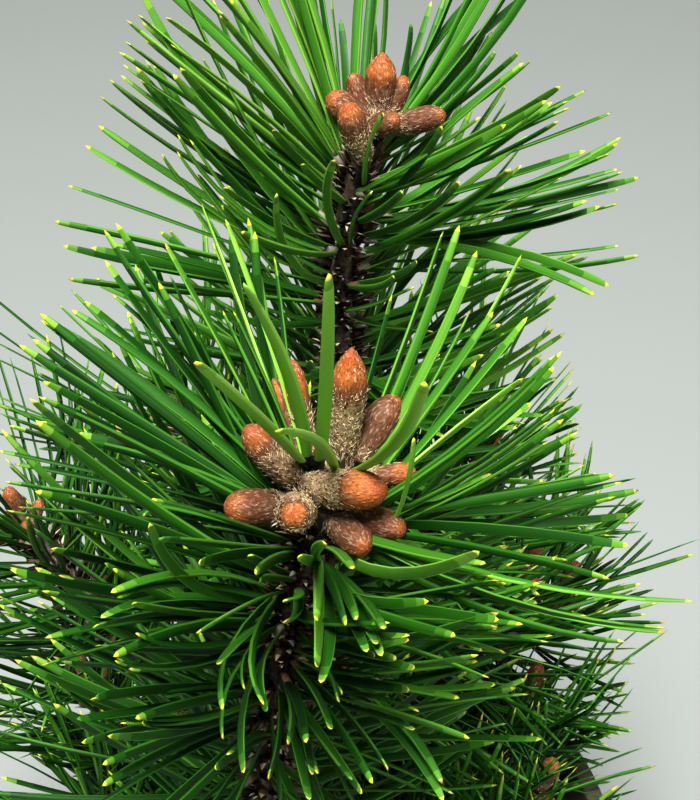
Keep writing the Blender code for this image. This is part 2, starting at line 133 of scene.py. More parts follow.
class Graph:
    """The node tree of one new material."""

    def __init__(self, name: str) -> None:
        """Makes the material and finds its shader."""
        self.material = bpy.data.materials.new(name)
        self.material.use_nodes = True
        self.tree = self.material.node_tree
        self.shader = self.tree.nodes["Principled BSDF"]

    def plug(self, socket: Socket, source: object) -> None:
        """Links a value or a socket to an input, or sets the input's own number or colour."""
        if isinstance(source, Value):
            source = source.socket
        if isinstance(source, Socket):
            self.tree.links.new(source, socket)
        elif hasattr(source, "__len__") and len(source) == 3 and socket.type == "RGBA":
            socket.default_value = (*source, 1.0)
        else:
            socket.default_value = source

    def node(self, kind: str, settings: dict | None = None, inputs: dict | None = None) -> bpy.types.Node:
        """Adds a node.

        Args:
            kind: The node's type.
            settings: Its properties, with a colour ramp's stops under "stops".
            inputs: The values or links of its sockets, by name or number.

        Returns:
            The new node.
        """
        made = self.tree.nodes.new(kind)
        for key, value in (settings or {}).items():
            if key == "stops":
                self.set_stops(made.color_ramp, value)
            else:
                setattr(made, key, value)
        for key, value in (inputs or {}).items():
            self.plug(made.inputs[key], value)
        return made

    @staticmethod
    def set_stops(ramp: bpy.types.ColorRamp, stops: tuple) -> None:
        """Gives a colour ramp its stops, each a place and a colour."""
        while len(ramp.elements) < len(stops):
            ramp.elements.new(0.5)
        for element, (place, colour) in zip(ramp.elements, stops):
            element.position = place
            element.color = (*colour, 1.0)

    def coordinates(self, stretch: tuple = (1.0, 1.0, 1.0)) -> Socket:
        """Object coordinates, stretched."""
        source = self.node("ShaderNodeTexCoord").outputs["Object"]
        return self.node("ShaderNodeMapping", None, {"Vector": source, "Scale": stretch}).outputs["Vector"]

    def attribute(self, name: str, output: str = "Fac") -> Value:
        """What the mesh keeps under a name, as a number or as a vector."""
        return Value(self, self.node("ShaderNodeAttribute", {"attribute_name": name}).outputs[output])

    def noise(self, vector: object, scale: float, detail: float = 3.0) -> Value:
        """A noise pattern's strength, 0 to 1."""
        inputs = {"Vector": vector, "Scale": scale, "Detail": detail}
        return Value(self, self.node("ShaderNodeTexNoise", None, inputs).outputs[0])

    def cells(self, vector: Socket, scale: float) -> Value:
        """The distance from the middle of the nearest cell."""
        inputs = {"Vector": vector, "Scale": scale}
        return Value(self, self.node("ShaderNodeTexVoronoi", None, inputs).outputs["Distance"])

    def ramp(self, value: Value, stops: tuple) -> Socket:
        """The colour of a ramp at a value."""
        return self.node("ShaderNodeValToRGB", {"stops": stops}, {0: value}).outputs["Color"]

    def mix(self, share: Value, first: object, second: object) -> Socket:
        """The blend of two colours by a share."""
        settings = {"data_type": "RGBA"}
        made = self.node("ShaderNodeMix", settings, {0: share, 6: first, 7: second})
        return made.outputs[2]

    def bump(self, height: Value, strength: float, distance: float) -> None:
        """Gives the shader a bump."""
        inputs = {"Height": height, "Strength": strength, "Distance": distance}
        made = self.node("ShaderNodeBump", None, inputs)
        self.plug(self.shader.inputs["Normal"], made.outputs["Normal"])

    def surface(self, **sockets: object) -> bpy.types.Material:
        """Sets the shader's sockets, named with underscores for spaces, and gives the material."""
        for key, value in sockets.items():
            self.plug(self.shader.inputs[key.replace("_", " ")], value)
        return self.material


# ---- finishes


@dataclass(frozen=True)
class Tissue:
    """A finish of plain base colour, with fine grain in its gloss and relief."""

    name: str
    colour: Colour
    gloss: Span = (0.42, 0.60)
    grain: float = 900.0
    relief: float = 0.12
    shine: float = 0.35

    def material(self) -> bpy.types.Material:
        """The finish as a material."""
        graph = Graph(self.name)
        grain = graph.noise(graph.coordinates(), self.grain)
        graph.bump(grain, self.relief, 0.2 * MM)
        low, high = self.gloss
        rough = grain * (high - low) + low
        return graph.surface(Base_Color=self.colour, Roughness=rough, Specular_IOR_Level=self.shine)


@dataclass(frozen=True)
class Bark:
    """Young pine bark: grey-brown flakes over red-brown furrows."""

    name: str = "bark"
    furrow: Colour = (0.012, 0.008, 0.006)
    body: Colour = (0.090, 0.058, 0.042)
    flake: Colour = (0.340, 0.275, 0.215)
    stretch: float = 0.45
    coarse_scale: float = 520.0
    fine_scale: float = 1500.0
    patch_scale: float = 160.0
    patchy: float = 0.25

    def material(self) -> bpy.types.Material:
        """The finish as a material."""
        graph = Graph(self.name)
        long = graph.coordinates((1.0, 1.0, self.stretch))
        flakes = graph.noise(long, self.coarse_scale, 5.0) * 0.5 + graph.noise(long, self.fine_scale) * 0.5
        patches = graph.noise(graph.coordinates(), self.patch_scale, 2.0)
        stops = ((0.36, self.furrow), (0.50, self.body), (0.64, self.flake))
        colour = graph.ramp(flakes * (1 - self.patchy) + patches * self.patchy, stops)
        graph.bump(flakes, 0.9, 0.6 * MM)
        return graph.surface(Base_Color=colour, Roughness=0.97 - flakes * 0.2)


@dataclass(frozen=True)
class Plastic:
    """Thin moulded pot plastic with faint flow marks and dust."""

    name: str = "pot_plastic"
    body: Colour = (0.085, 0.072, 0.050)
    worn: Colour = (0.150, 0.132, 0.100)
    flow_scale: float = 34.0
    grain_scale: float = 1400.0

    def material(self) -> bpy.types.Material:
        """The finish as a material."""
        graph = Graph(self.name)
        flow = graph.noise(graph.coordinates((1.0, 1.0, 3.0)), self.flow_scale, 4.0)
        grain = graph.noise(graph.coordinates(), self.grain_scale, 2.0)
        share = flow.above(0.42, 2.6)
        graph.bump(grain, 0.16, 0.2 * MM)
        colour = graph.mix(share, self.body, self.worn)
        return graph.surface(Base_Color=colour, Roughness=grain * 0.14 + flow * 0.16 + 0.36)


@dataclass(frozen=True)
class Earth:
    """Moist peat."""

    name: str = "potting_soil"
    wet: Colour = (0.010, 0.006, 0.004)
    dry: Colour = (0.060, 0.036, 0.022)
    crumb_scale: float = 420.0
    patch_scale: float = 75.0

    def material(self) -> bpy.types.Material:
        """The finish as a material."""
        graph = Graph(self.name)
        here = graph.coordinates()
        crumbs = graph.cells(here, self.crumb_scale)
        patches = graph.noise(here, self.patch_scale, 5.0)
        colour = graph.ramp(patches + crumbs * 0.35 - 0.1, ((0.35, self.wet), (0.75, self.dry)))
        graph.bump(crumbs + patches, 0.9, 0.8 * MM)
        return graph.surface(Base_Color=colour, Roughness=0.98 - crumbs * 0.15)


# Needle tones, darkest first, each with a paler colour for the margins. The tones carry painted light and
# shade: the first is painted shade for the needles inside and low in the crown, and the last, given mostly to
# the near needles, is partly painted light.
GREENS = (
    ("deep", (0.0036, 0.028, 0.0018), (0.024, 0.105, 0.008)),
    ("dark", (0.0085, 0.056, 0.0032), (0.048, 0.175, 0.014)),
    ("mid", (0.0190, 0.104, 0.0058), (0.088, 0.260, 0.024)),
    ("fresh", (0.0460, 0.180, 0.0120), (0.150, 0.365, 0.040)),
    ("light", (0.1000, 0.280, 0.0250), (0.235, 0.460, 0.070)),
    ("bright", (0.2200, 0.480, 0.0500), (0.360, 0.620, 0.110)),
)
LIMES = (("lime", (0.105, 0.275, 0.022)), ("pale_lime", (0.190, 0.370, 0.036)))
POINTS = (("yellow", (0.500, 0.530, 0.045)), ("straw", (0.440, 0.350, 0.060)))
NEEDLE_FOOT = ("needle_foot", (0.0040, 0.0200, 0.0024))


@dataclass(frozen=True)
class BudSkin:
    """The skin of the winter buds: straw and brown at the foot, rust above, orange at the tip.

    The mesh keeps how ripe each point is, from 0 at the foot through 0.5 at the wool's edge to 1 at the
    tip, how dark its bud is, and a place in the bud's streaks in millimetres.
    """

    name: str = "bud_skin"
    stops: tuple = (
        (0.00, (0.080, 0.050, 0.030)),
        (0.25, (0.400, 0.300, 0.160)),
        (0.43, (0.430, 0.315, 0.165)),
        (0.55, (0.200, 0.100, 0.050)),
        (0.74, (0.190, 0.066, 0.025)),
        (0.89, (0.500, 0.145, 0.018)),
        (1.00, (0.440, 0.088, 0.012)),
    )
    dull: Colour = (0.095, 0.034, 0.016)
    shadow: Colour = (0.040, 0.013, 0.006)
    frost: Colour = (0.600, 0.440, 0.290)
    broad_scale: float = 0.9
    fleck_scale: float = 2.6
    pit_scale: float = 4.4

    def material(self) -> bpy.types.Material:
        """The finish as a material."""
        graph = Graph(self.name)
        streaks = graph.attribute("bud_streak", "Vector")
        broad = graph.noise(streaks, self.broad_scale, 2.0)
        flecks = graph.noise(streaks, self.fleck_scale)
        pits = graph.noise(streaks, self.pit_scale, 2.0)
        ripe = graph.attribute("bud_ripe") + broad * 0.30 - 0.15
        colour = graph.ramp(ripe, self.stops)
        colour = graph.mix(graph.attribute("bud_dark") * 0.85, colour, self.dull)
        colour = graph.mix(pits.below(0.47, 5.0) * 0.75, colour, self.shadow)
        colour = graph.mix(flecks.above(0.53, 6.0) * 0.42, colour, self.frost)
        graph.bump(flecks + pits * 0.6, 0.75, 0.25 * MM)
        return graph.surface(Base_Color=colour, Roughness=flecks * 0.35 + 0.40, Specular_IOR_Level=0.35)


class Woody(Enum):
    """The plain finishes of scales, sheaths, buds and litter, with their colours."""

    DARK = (0.018, 0.010, 0.006)
    BROWN = (0.070, 0.036, 0.020)
    TAN = (0.170, 0.100, 0.058)
    PAPER = (0.600, 0.490, 0.340)
    GREY = (0.260, 0.225, 0.190)
    WOOL = (0.680, 0.540, 0.310)
    RUST = (0.095, 0.024, 0.009)
    RUSSET = (0.145, 0.038, 0.013)
    COPPER = (0.210, 0.058, 0.018)
    AMBER = (0.290, 0.082, 0.022)
    ORANGE = (0.390, 0.115, 0.026)
    RESIN = (0.780, 0.790, 0.750)


class NeedlePaint:
    """The needles' palette: which slot each zone of a needle takes, by the tone of its spray."""

    SHINE = 0.24
    PALE_LIME_CHANCE = 0.35
    STRAW_CHANCE = 0.15

    def __init__(self) -> None:
        """Makes the materials in slot order."""
        self.materials = [Tissue(NEEDLE_FOOT[0], NEEDLE_FOOT[1]).material()]
        colours = []
        # Each tone's second colour, for the needles' margins, is partly their pale stomatal lines and partly
        # painted highlight.
        for name, body, light in GREENS:
            colours += [(name, body), (f"{name}_edge", light)]
        for name, colour in (*colours, *LIMES, *POINTS):
            self.materials.append(Tissue(f"needle_{name}", colour, shine=self.SHINE).material())

    def slots(self, tone: int, rng: random.Random, ripe: float) -> tuple[int, ...]:
        """The slots of a needle's zones.

        Args:
            tone: The needle's green, as its place in GREENS.
            rng: The source of chance for its tip.
            ripe: How likely its tip is to be yellow.

        Returns:
            A slot for each zone, from the foot to the point, then one for its pale stripes, which are partly
            stomatal lines and partly painted sheen.
        """
        body = 1 + 2 * tone
        paler = 1 + 2 * min(tone + 1, len(GREENS) - 1)
        palest = 1 + 2 * min(tone + 2, len(GREENS) - 1)
        first_lime = 1 + 2 * len(GREENS)
        if rng.random() > ripe:
            return (0, body, body + 1, body, paler, palest, paler)
        lime = first_lime + int(rng.random() < self.PALE_LIME_CHANCE)
        point = first_lime + len(LIMES) + int(rng.random() < self.STRAW_CHANCE)
        return (0, body, body + 1, paler, lime, point, paler)


WOODY_SLOT = {kind: i for i, kind in enumerate(Woody)}
SHINY = (Woody.RUST, Woody.RUSSET, Woody.COPPER, Woody.AMBER, Woody.ORANGE, Woody.RESIN)


def woody_materials() -> list[bpy.types.Material]:
    """The plain woody finishes, in the order of their Enum."""
    made = []
    for kind in Woody:
        gloss, shine = ((0.30, 0.50), 0.5) if kind in SHINY else ((0.70, 0.95), 0.2)
        settings = {"gloss": gloss, "grain": 1500.0, "relief": 0.35, "shine": shine}
        made.append(Tissue(f"scale_{kind.name.lower()}", kind.value, **settings).material())
    return made


# ---- small forms


@dataclass
class Item:
    """One small form: where it starts, its way, the way its flat side faces, its size and its slots."""

    root: Vector
    way: Vector
    face: Vector
    length: float
    half: float
    slots: tuple[int, ...]
    bend: Vector = field(default_factory=Vector)
    twist: float = 0.0
    curl: Vector = field(default_factory=Vector)


@dataclass(frozen=True)
class Form:
    """A closed shape drawn along a bent line: rings of one section, drawn to a point at each end.

    The section's points are in half widths, across and towards the flat side. Each station is a share of
    the length and a size. A zone is given for each stretch from the foot to the tip. Bands are the sides
    of the section that have a zone of their own on the body, each with that zone.
    """

    section: tuple[Span, ...]
    stations: tuple[Span, ...]
    zones: tuple[int, ...]
    bands: tuple[tuple[int, int], ...] = ()
    foot: float = 0.0
    tip: float = 1.0

    def faces(self) -> tuple[np.ndarray, np.ndarray, np.ndarray, np.ndarray]:
        """The faces of one form.

        Returns:
            The quads and their zones, then the triangles and their zones.
        """
        sides, rings, bands = len(self.section), len(self.stations), dict(self.bands)
        quads, quad_zones, tris, tri_zones = [], [], [], []
        for ring in range(rings - 1):
            for side in range(sides):
                after = (side + 1) % sides
                low, high = ring * sides, (ring + 1) * sides
                quads.append((low + side, low + after, high + after, high + side))
                plain = self.zones[ring + 1]
                quad_zones.append(bands.get(side, plain) if plain == 1 else plain)
        foot, tip, last = rings * sides, rings * sides + 1, (rings - 1) * sides
        for side in range(sides):
            after = (side + 1) % sides
            tris.append((foot, after, side))
            tri_zones.append(self.zones[0])
            tris.append((last + side, last + after, tip))
            tri_zones.append(self.zones[-1])
        return (
            np.array(quads, int).reshape(-1, 4),
            np.array(quad_zones, int),
            np.array(tris, int),
            np.array(tri_zones, int),
        )

    def points(self, items: list[Item]) -> np.ndarray:
        """The points of every form.

        Args:
            items: The forms to draw.

        Returns:
            An array of forms by points by 3.
        """
        fields = ("root", "way", "face", "bend", "curl", "length", "half", "twist")
        root, way, face, bend, curl, length, half, twist = (
            np.array([getattr(item, name) for item in items], float) for name in fields
        )
        shares = np.array([self.foot, *(s for s, _ in self.stations), self.tip])
        s = shares[None, :, None]
        arc = way[:, None] * s + bend[:, None] * s**2 + curl[:, None] * s**3
        centre = root[:, None] + length[:, None, None] * arc
        travel = way[:, None] + 2 * bend[:, None] * s + 3 * curl[:, None] * s**2
        travel /= np.linalg.norm(travel, axis=2, keepdims=True)
        out = face[:, None] - (face[:, None] * travel).sum(2, keepdims=True) * travel
        out /= np.linalg.norm(out, axis=2, keepdims=True)
        side = np.cross(out, travel)
        angle = twist[:, None, None] * s
        across = side * np.cos(angle) + out * np.sin(angle)
        out = out * np.cos(angle) - side * np.sin(angle)
        size = np.array([v for _, v in self.stations])[None, :, None] * half[:, None, None]
        rings = [
            centre[:, 1:-1] + size * (x * across[:, 1:-1] + y * out[:, 1:-1]) for x, y in self.section
        ]
        body = np.stack(rings, axis=2).reshape(len(items), -1, 3)
        return np.concatenate([body, centre[:, :1], centre[:, -1:]], axis=1)


@dataclass
class Batch:
    """Many small forms gathered into one mesh."""

    name: str
    slot: str
    materials: list[bpy.types.Material]
    parts: list[tuple[Form, list[Item]]] = field(default_factory=list)

    def add(self, form: Form, items: list[Item]) -> None:
        """Adds forms of one kind."""
        if items:
            self.parts.append((form, items))

    def make(self) -> bpy.types.Object:
        """Joins the forms into an object of the scene."""
        points, corners, starts, slots = [], [], [], []
        base = loops = 0
        for form, items in self.parts:
            co = form.points(items)
            offsets = base + np.arange(len(items))[:, None, None] * co.shape[1]
            palette = np.array([i.slots for i in items])
            quads, quad_zones, tris, tri_zones = form.faces()
            for faces, zones in ((quads, quad_zones), (tris, tri_zones)):
                if len(faces):
                    made = (faces[None] + offsets).reshape(-1, faces.shape[1])
                    corners.append(made.ravel())
                    starts.append(loops + np.arange(len(made)) * faces.shape[1])
                    slots.append(palette[:, zones].ravel())
                    loops += made.size
            points.append(co.reshape(-1, 3))
            base += co.shape[0] * co.shape[1]
        mesh = bpy.data.meshes.new(self.name)
        mesh.vertices.add(base)
        mesh.vertices.foreach_set("co", np.concatenate(points).astype(np.float32).ravel())
        mesh.loops.add(loops)
        mesh.loops.foreach_set("vertex_index", np.concatenate(corners).astype(np.int32))
        start = np.concatenate(starts).astype(np.int32)
        mesh.polygons.add(len(start))
        mesh.polygons.foreach_set("loop_start", start)
        for mat in self.materials:
            mesh.materials.append(mat)
        mesh.polygons.foreach_set("material_index", np.concatenate(slots).astype(np.int32))
        mesh.update(calc_edges=True)
        mesh.validate()
        mesh.shade_smooth()
        return place(mesh, self.name, self.slot)


def place(mesh: bpy.types.Mesh, name: str, slot: str) -> bpy.types.Object:
    """Links a finished mesh as a piece that rides on the plant's body."""
    piece = bpy.data.objects.new(name, mesh)
    bpy.context.scene.collection.objects.link(piece)
    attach(piece, BODY)
    mesh.calc_loop_triangles()
    log.info("%s: %d triangles", name, len(mesh.loop_triangles))
    return piece


def ring(sides: int, flat: float = 1.0) -> tuple[Span, ...]:
    """A section of points round an ellipse of half width 1 and half thickness flat."""
    angles = [math.tau * i / sides for i in range(sides)]
    return tuple((math.cos(a), flat * math.sin(a)) for a in angles)


FINE_NEEDLE = Form(
    section=(
        (1.0, 0.0), (0.84, 0.13), (0.0, -0.05), (-0.84, 0.13),
        (-1.0, 0.0), (-0.68, -0.40), (0.0, -0.60), (0.68, -0.40),
    ),
    stations=(
        (0.01, 0.62), (0.07, 0.76), (0.20, 0.95), (0.36, 1.0), (0.52, 1.0),
        (0.68, 0.97), (0.80, 0.90), (0.885, 0.82), (0.945, 0.71), (0.980, 0.52),
    ),
    zones=(0, 0, 1, 1, 1, 1, 1, 1, 3, 4, 5),
    # The margins take the pale edge colour and one back side the paler stripe: partly stomatal lines, partly
    # painted highlight and sheen.
    bands=((0, 2), (3, 2), (4, 6), (7, 2)),
)
NEEDLE = Form(
    section=((1.0, 0.04), (0.0, -0.02), (-1.0, 0.04), (-0.62, -0.42), (0.0, -0.58), (0.62, -0.42)),
    stations=(
        (0.01, 0.62), (0.09, 0.80), (0.30, 1.0), (0.52, 1.0), (0.74, 0.94), (0.90, 0.78), (0.965, 0.52),
    ),
    zones=(0, 0, 1, 1, 1, 3, 4, 5),
    # One side by a margin takes the pale edge colour and one back side the paler stripe: partly stomatal
    # lines, partly painted highlight and sheen.
    bands=((2, 2), (4, 6)),
)
SHEATH = Form(
    section=ring(5),
    stations=((0.02, 0.75), (0.45, 1.0), (1.0, 0.92)),
    zones=(0, 0, 1, 1),
    tip=0.88,
)
BLADE = Form(
    section=((1.0, 0.0), (0.0, 0.16), (-1.0, 0.0), (0.0, -0.10)),
    stations=((0.08, 0.60), (0.36, 1.0), (0.72, 0.62)),
    zones=(0, 0, 1, 2),
)
HAIR = Form(section=ring(3), stations=((0.05, 1.0),), zones=(0, 0))
CRUMB = Form(section=ring(5, 0.62), stations=((0.2, 0.8), (0.7, 1.0)), zones=(0, 0, 0))
LITTER = Form(
    section=ring(3, 0.6),
    stations=((0.02, 0.8), (0.35, 1.0), (0.7, 1.0), (0.97, 0.6)),
    zones=(0, 0, 0, 0, 0),
)


@dataclass(frozen=True)
class Dome:
    """How a bud fills out: where it is fullest, and how blunt its end is."""

    fullest: float
    blunt: float
    round_off: float = 0.62

    def girth(self, t: float) -> float:
        """The bud's girth at a share of its length, where 1 is its fullest."""
        if t < self.fullest:
            return 0.70 + 0.30 * math.sin(math.pi / 2 * t / self.fullest)
        left = 1 - ((t - self.fullest) / (1 - self.fullest)) ** self.blunt
        return max(0.0, left) ** self.round_off

    def core(self, sides: int, rings: int) -> Form:
        """A bud's core of so many sides and rings, closer set towards its end."""
        shares = [1 - (1 - i / rings) ** 1.25 for i in range(rings)]
        return Form(
            section=ring(sides),
            stations=tuple((t, self.girth(t)) for t in shares),
            zones=(0,) * (rings + 1),
            foot=-0.04,
        )


ROUNDED = Dome(0.60, 2.5)
KEELED = Dome(0.74, 1.25, 0.80)
YOUNG = Dome(0.60, 1.8)
CORES = {ROUNDED: ROUNDED.core(26, 30), KEELED: KEELED.core(28, 36), YOUNG: YOUNG.core(10, 11)}


# ---- the plant's frame


@dataclass(frozen=True)
class Bud:
    """A winter bud: its way, its size, where its foot stands from its shoot's end, and its colours.

    A main bud is set by where the camera sees its tip, with how far its foot lies behind its shoot's
    end. The wool reaches from the foot to one share of the length, and the orange from the tip down
    over another. Dark is how brown the bud is.
    """

    turn: float
    lean: float
    length: float
    width: float
    foot: tuple = (0.0, 0.0, 0.0)
    wool: float = 0.45
    orange: float = 0.30
    dark: float = 0.35
    dome: Dome = ROUNDED
    tip: Span | None = None
    behind: float = 0.0


@dataclass(frozen=True)
class Shoot:
    """A shoot: where its buds sit about the trunk, how many needle pairs it bears, and its buds."""

    name: str
    turn: float
    reach: float
    height: float
    pairs: int = 84
    lean: float = 25.0
    lean_turn: float | None = None
    buds: tuple[Bud, ...] = ()
    side_buds: int = 3
    # The needles' mean tone, as a place in GREENS, set shoot by shoot: it carries painted light and shade as
    # well as the shoot's own green.
    green: float = 1.6
    sighted: tuple = ()


@dataclass(frozen=True)
class Bough:
    """A bough: where it leaves the trunk, where it ends, and the shoots that grow on from its end."""

    name: str
    turn: float
    leaves: float
    reach: float
    height: float
    shoots: tuple[Shoot, ...]
    end_turn: float | None = None


@dataclass(frozen=True)
class Sighted:
    """A needle placed by sight: where its root, its tip and its bulge lie in the camera's frame.

    The frame is 700 wide and 800 high, counted from its upper left corner. The bulge is how far the
    needle's middle stands off the straight line. A near one leans towards the camera, and a twin one has
    another beside it. The root may stray so far from the stem.
    """

    root: Span
    tip: Span
    bulge: Span = (0.0, 0.0)
    near: bool = True
    length: float = 0.050
    twin: bool = True
    # The tone, as a place in GREENS, set needle by needle: it carries painted light and shade, lower for
    # needles in the crown's shade and higher for the lit, near ones.
    green: float = 2.4
    broad: float = 1.0
    stray: float = 0.0


@dataclass(frozen=True)
class Lone(Sighted):
    """A needle placed by sight that has no other beside it."""

    twin: bool = False


# Tones are higher on the leader's lit left: painted light.
LEADER_NEEDLES = (
    Sighted((310, 262), (69, 124), (0, 10), green=3),
    Sighted((335, 285), (32, 196), length=0.055, green=2),
    Sighted((330, 235), (99, 85), (-2, 6), green=2.2),
    Sighted((330, 230), (113, 76), (0, 6), green=3),
    Sighted((335, 200), (124, 40), (4, 8), green=3),
    Sighted((330, 205), (121, 50), (6, 6), green=2.4),
    Sighted((335, 190), (126, 11), (0, 4), green=3.8),
    Sighted((335, 185), (163, 25), (4, -4), green=3.6),
    Sighted((340, 180), (130, -48), (8, -4), green=3),
    Sighted((340, 178), (150, -70), (8, -4), green=3),
    Sighted((345, 172), (219, 3), (4, 0), green=3.6),
    Sighted((345, 172), (196, -90), (6, 0), green=3.4),
    Sighted((345, 170), (236, -105), (6, 0), green=3.8),
    Sighted((348, 165), (270, -110), (4, 0), green=3.6),
    Sighted((350, 165), (282, -100), (-2, 0), green=3),
    Sighted((352, 160), (298, -105), (-4, 0), near=False, green=3),
    Lone((345, 249), (334, 158), (-12, 2), green=2.8),
    Lone((330, 285), (278, 195), (-14, 12), green=3),
    Sighted((320, 255), (167, 141), (-14, 18), green=3),
    Sighted((325, 295), (39, 258), (0, 4), green=2),
    Sighted((328, 300), (95, 245), (0, -4), green=2),
    Lone((372, 190), (382, 112), (-6, 0), green=3.4),
    Sighted((368, 215), (426, 119), (-8, -2), green=3),
    Lone((385, 229), (436, 126), (2, 2), green=3.2),
    Lone((364, 223), (406, 189), (4, 4), green=2.6),
    Lone((372, 238), (461, 180), (6, 10), green=2.2),
    Lone((353, 250), (368, 190), (-8, -4), green=2.6),
    Sighted((370, 240), (637, 134), (4, 6), green=2.6),
    Sighted((375, 225), (646, 168), (0, 8)),
    Sighted((380, 228), (625, 160), (2, 8), green=1.8),
    Sighted((375, 240), (627, 195), (0, 8), green=1.6),
    Sighted((375, 242), (599, 204), (0, 8), green=1.4),
    Sighted((375, 240), (606, 290), (8, -14), length=0.054, green=2),
    Sighted((375, 262), (641, 250), (0, 6), length=0.054, green=1.6),
    Sighted((378, 200), (606, 98), (6, 6), near=False),
    Sighted((385, 195), (572, 107), (6, 8), green=1.6),
    Sighted((380, 190), (558, 90), (6, 6)),
    Sighted((385, 170), (528, 54), (6, 4), green=2),
    Sighted((388, 165), (492, 40), (8, 4)),
    Sighted((385, 165), (492, -95), (10, 4), green=2.6),
    Sighted((390, 165), (520, -80), (10, 4), green=2.8),
    Sighted((392, 170), (555, -70), (10, 4)),
    Sighted((362, 120), (392, -150), (-4, 0), near=False, green=2.8),
    Lone((375, 120), (377, 21), near=False),
    Lone((400, 110), (414, 23), near=False, green=1.6),
)
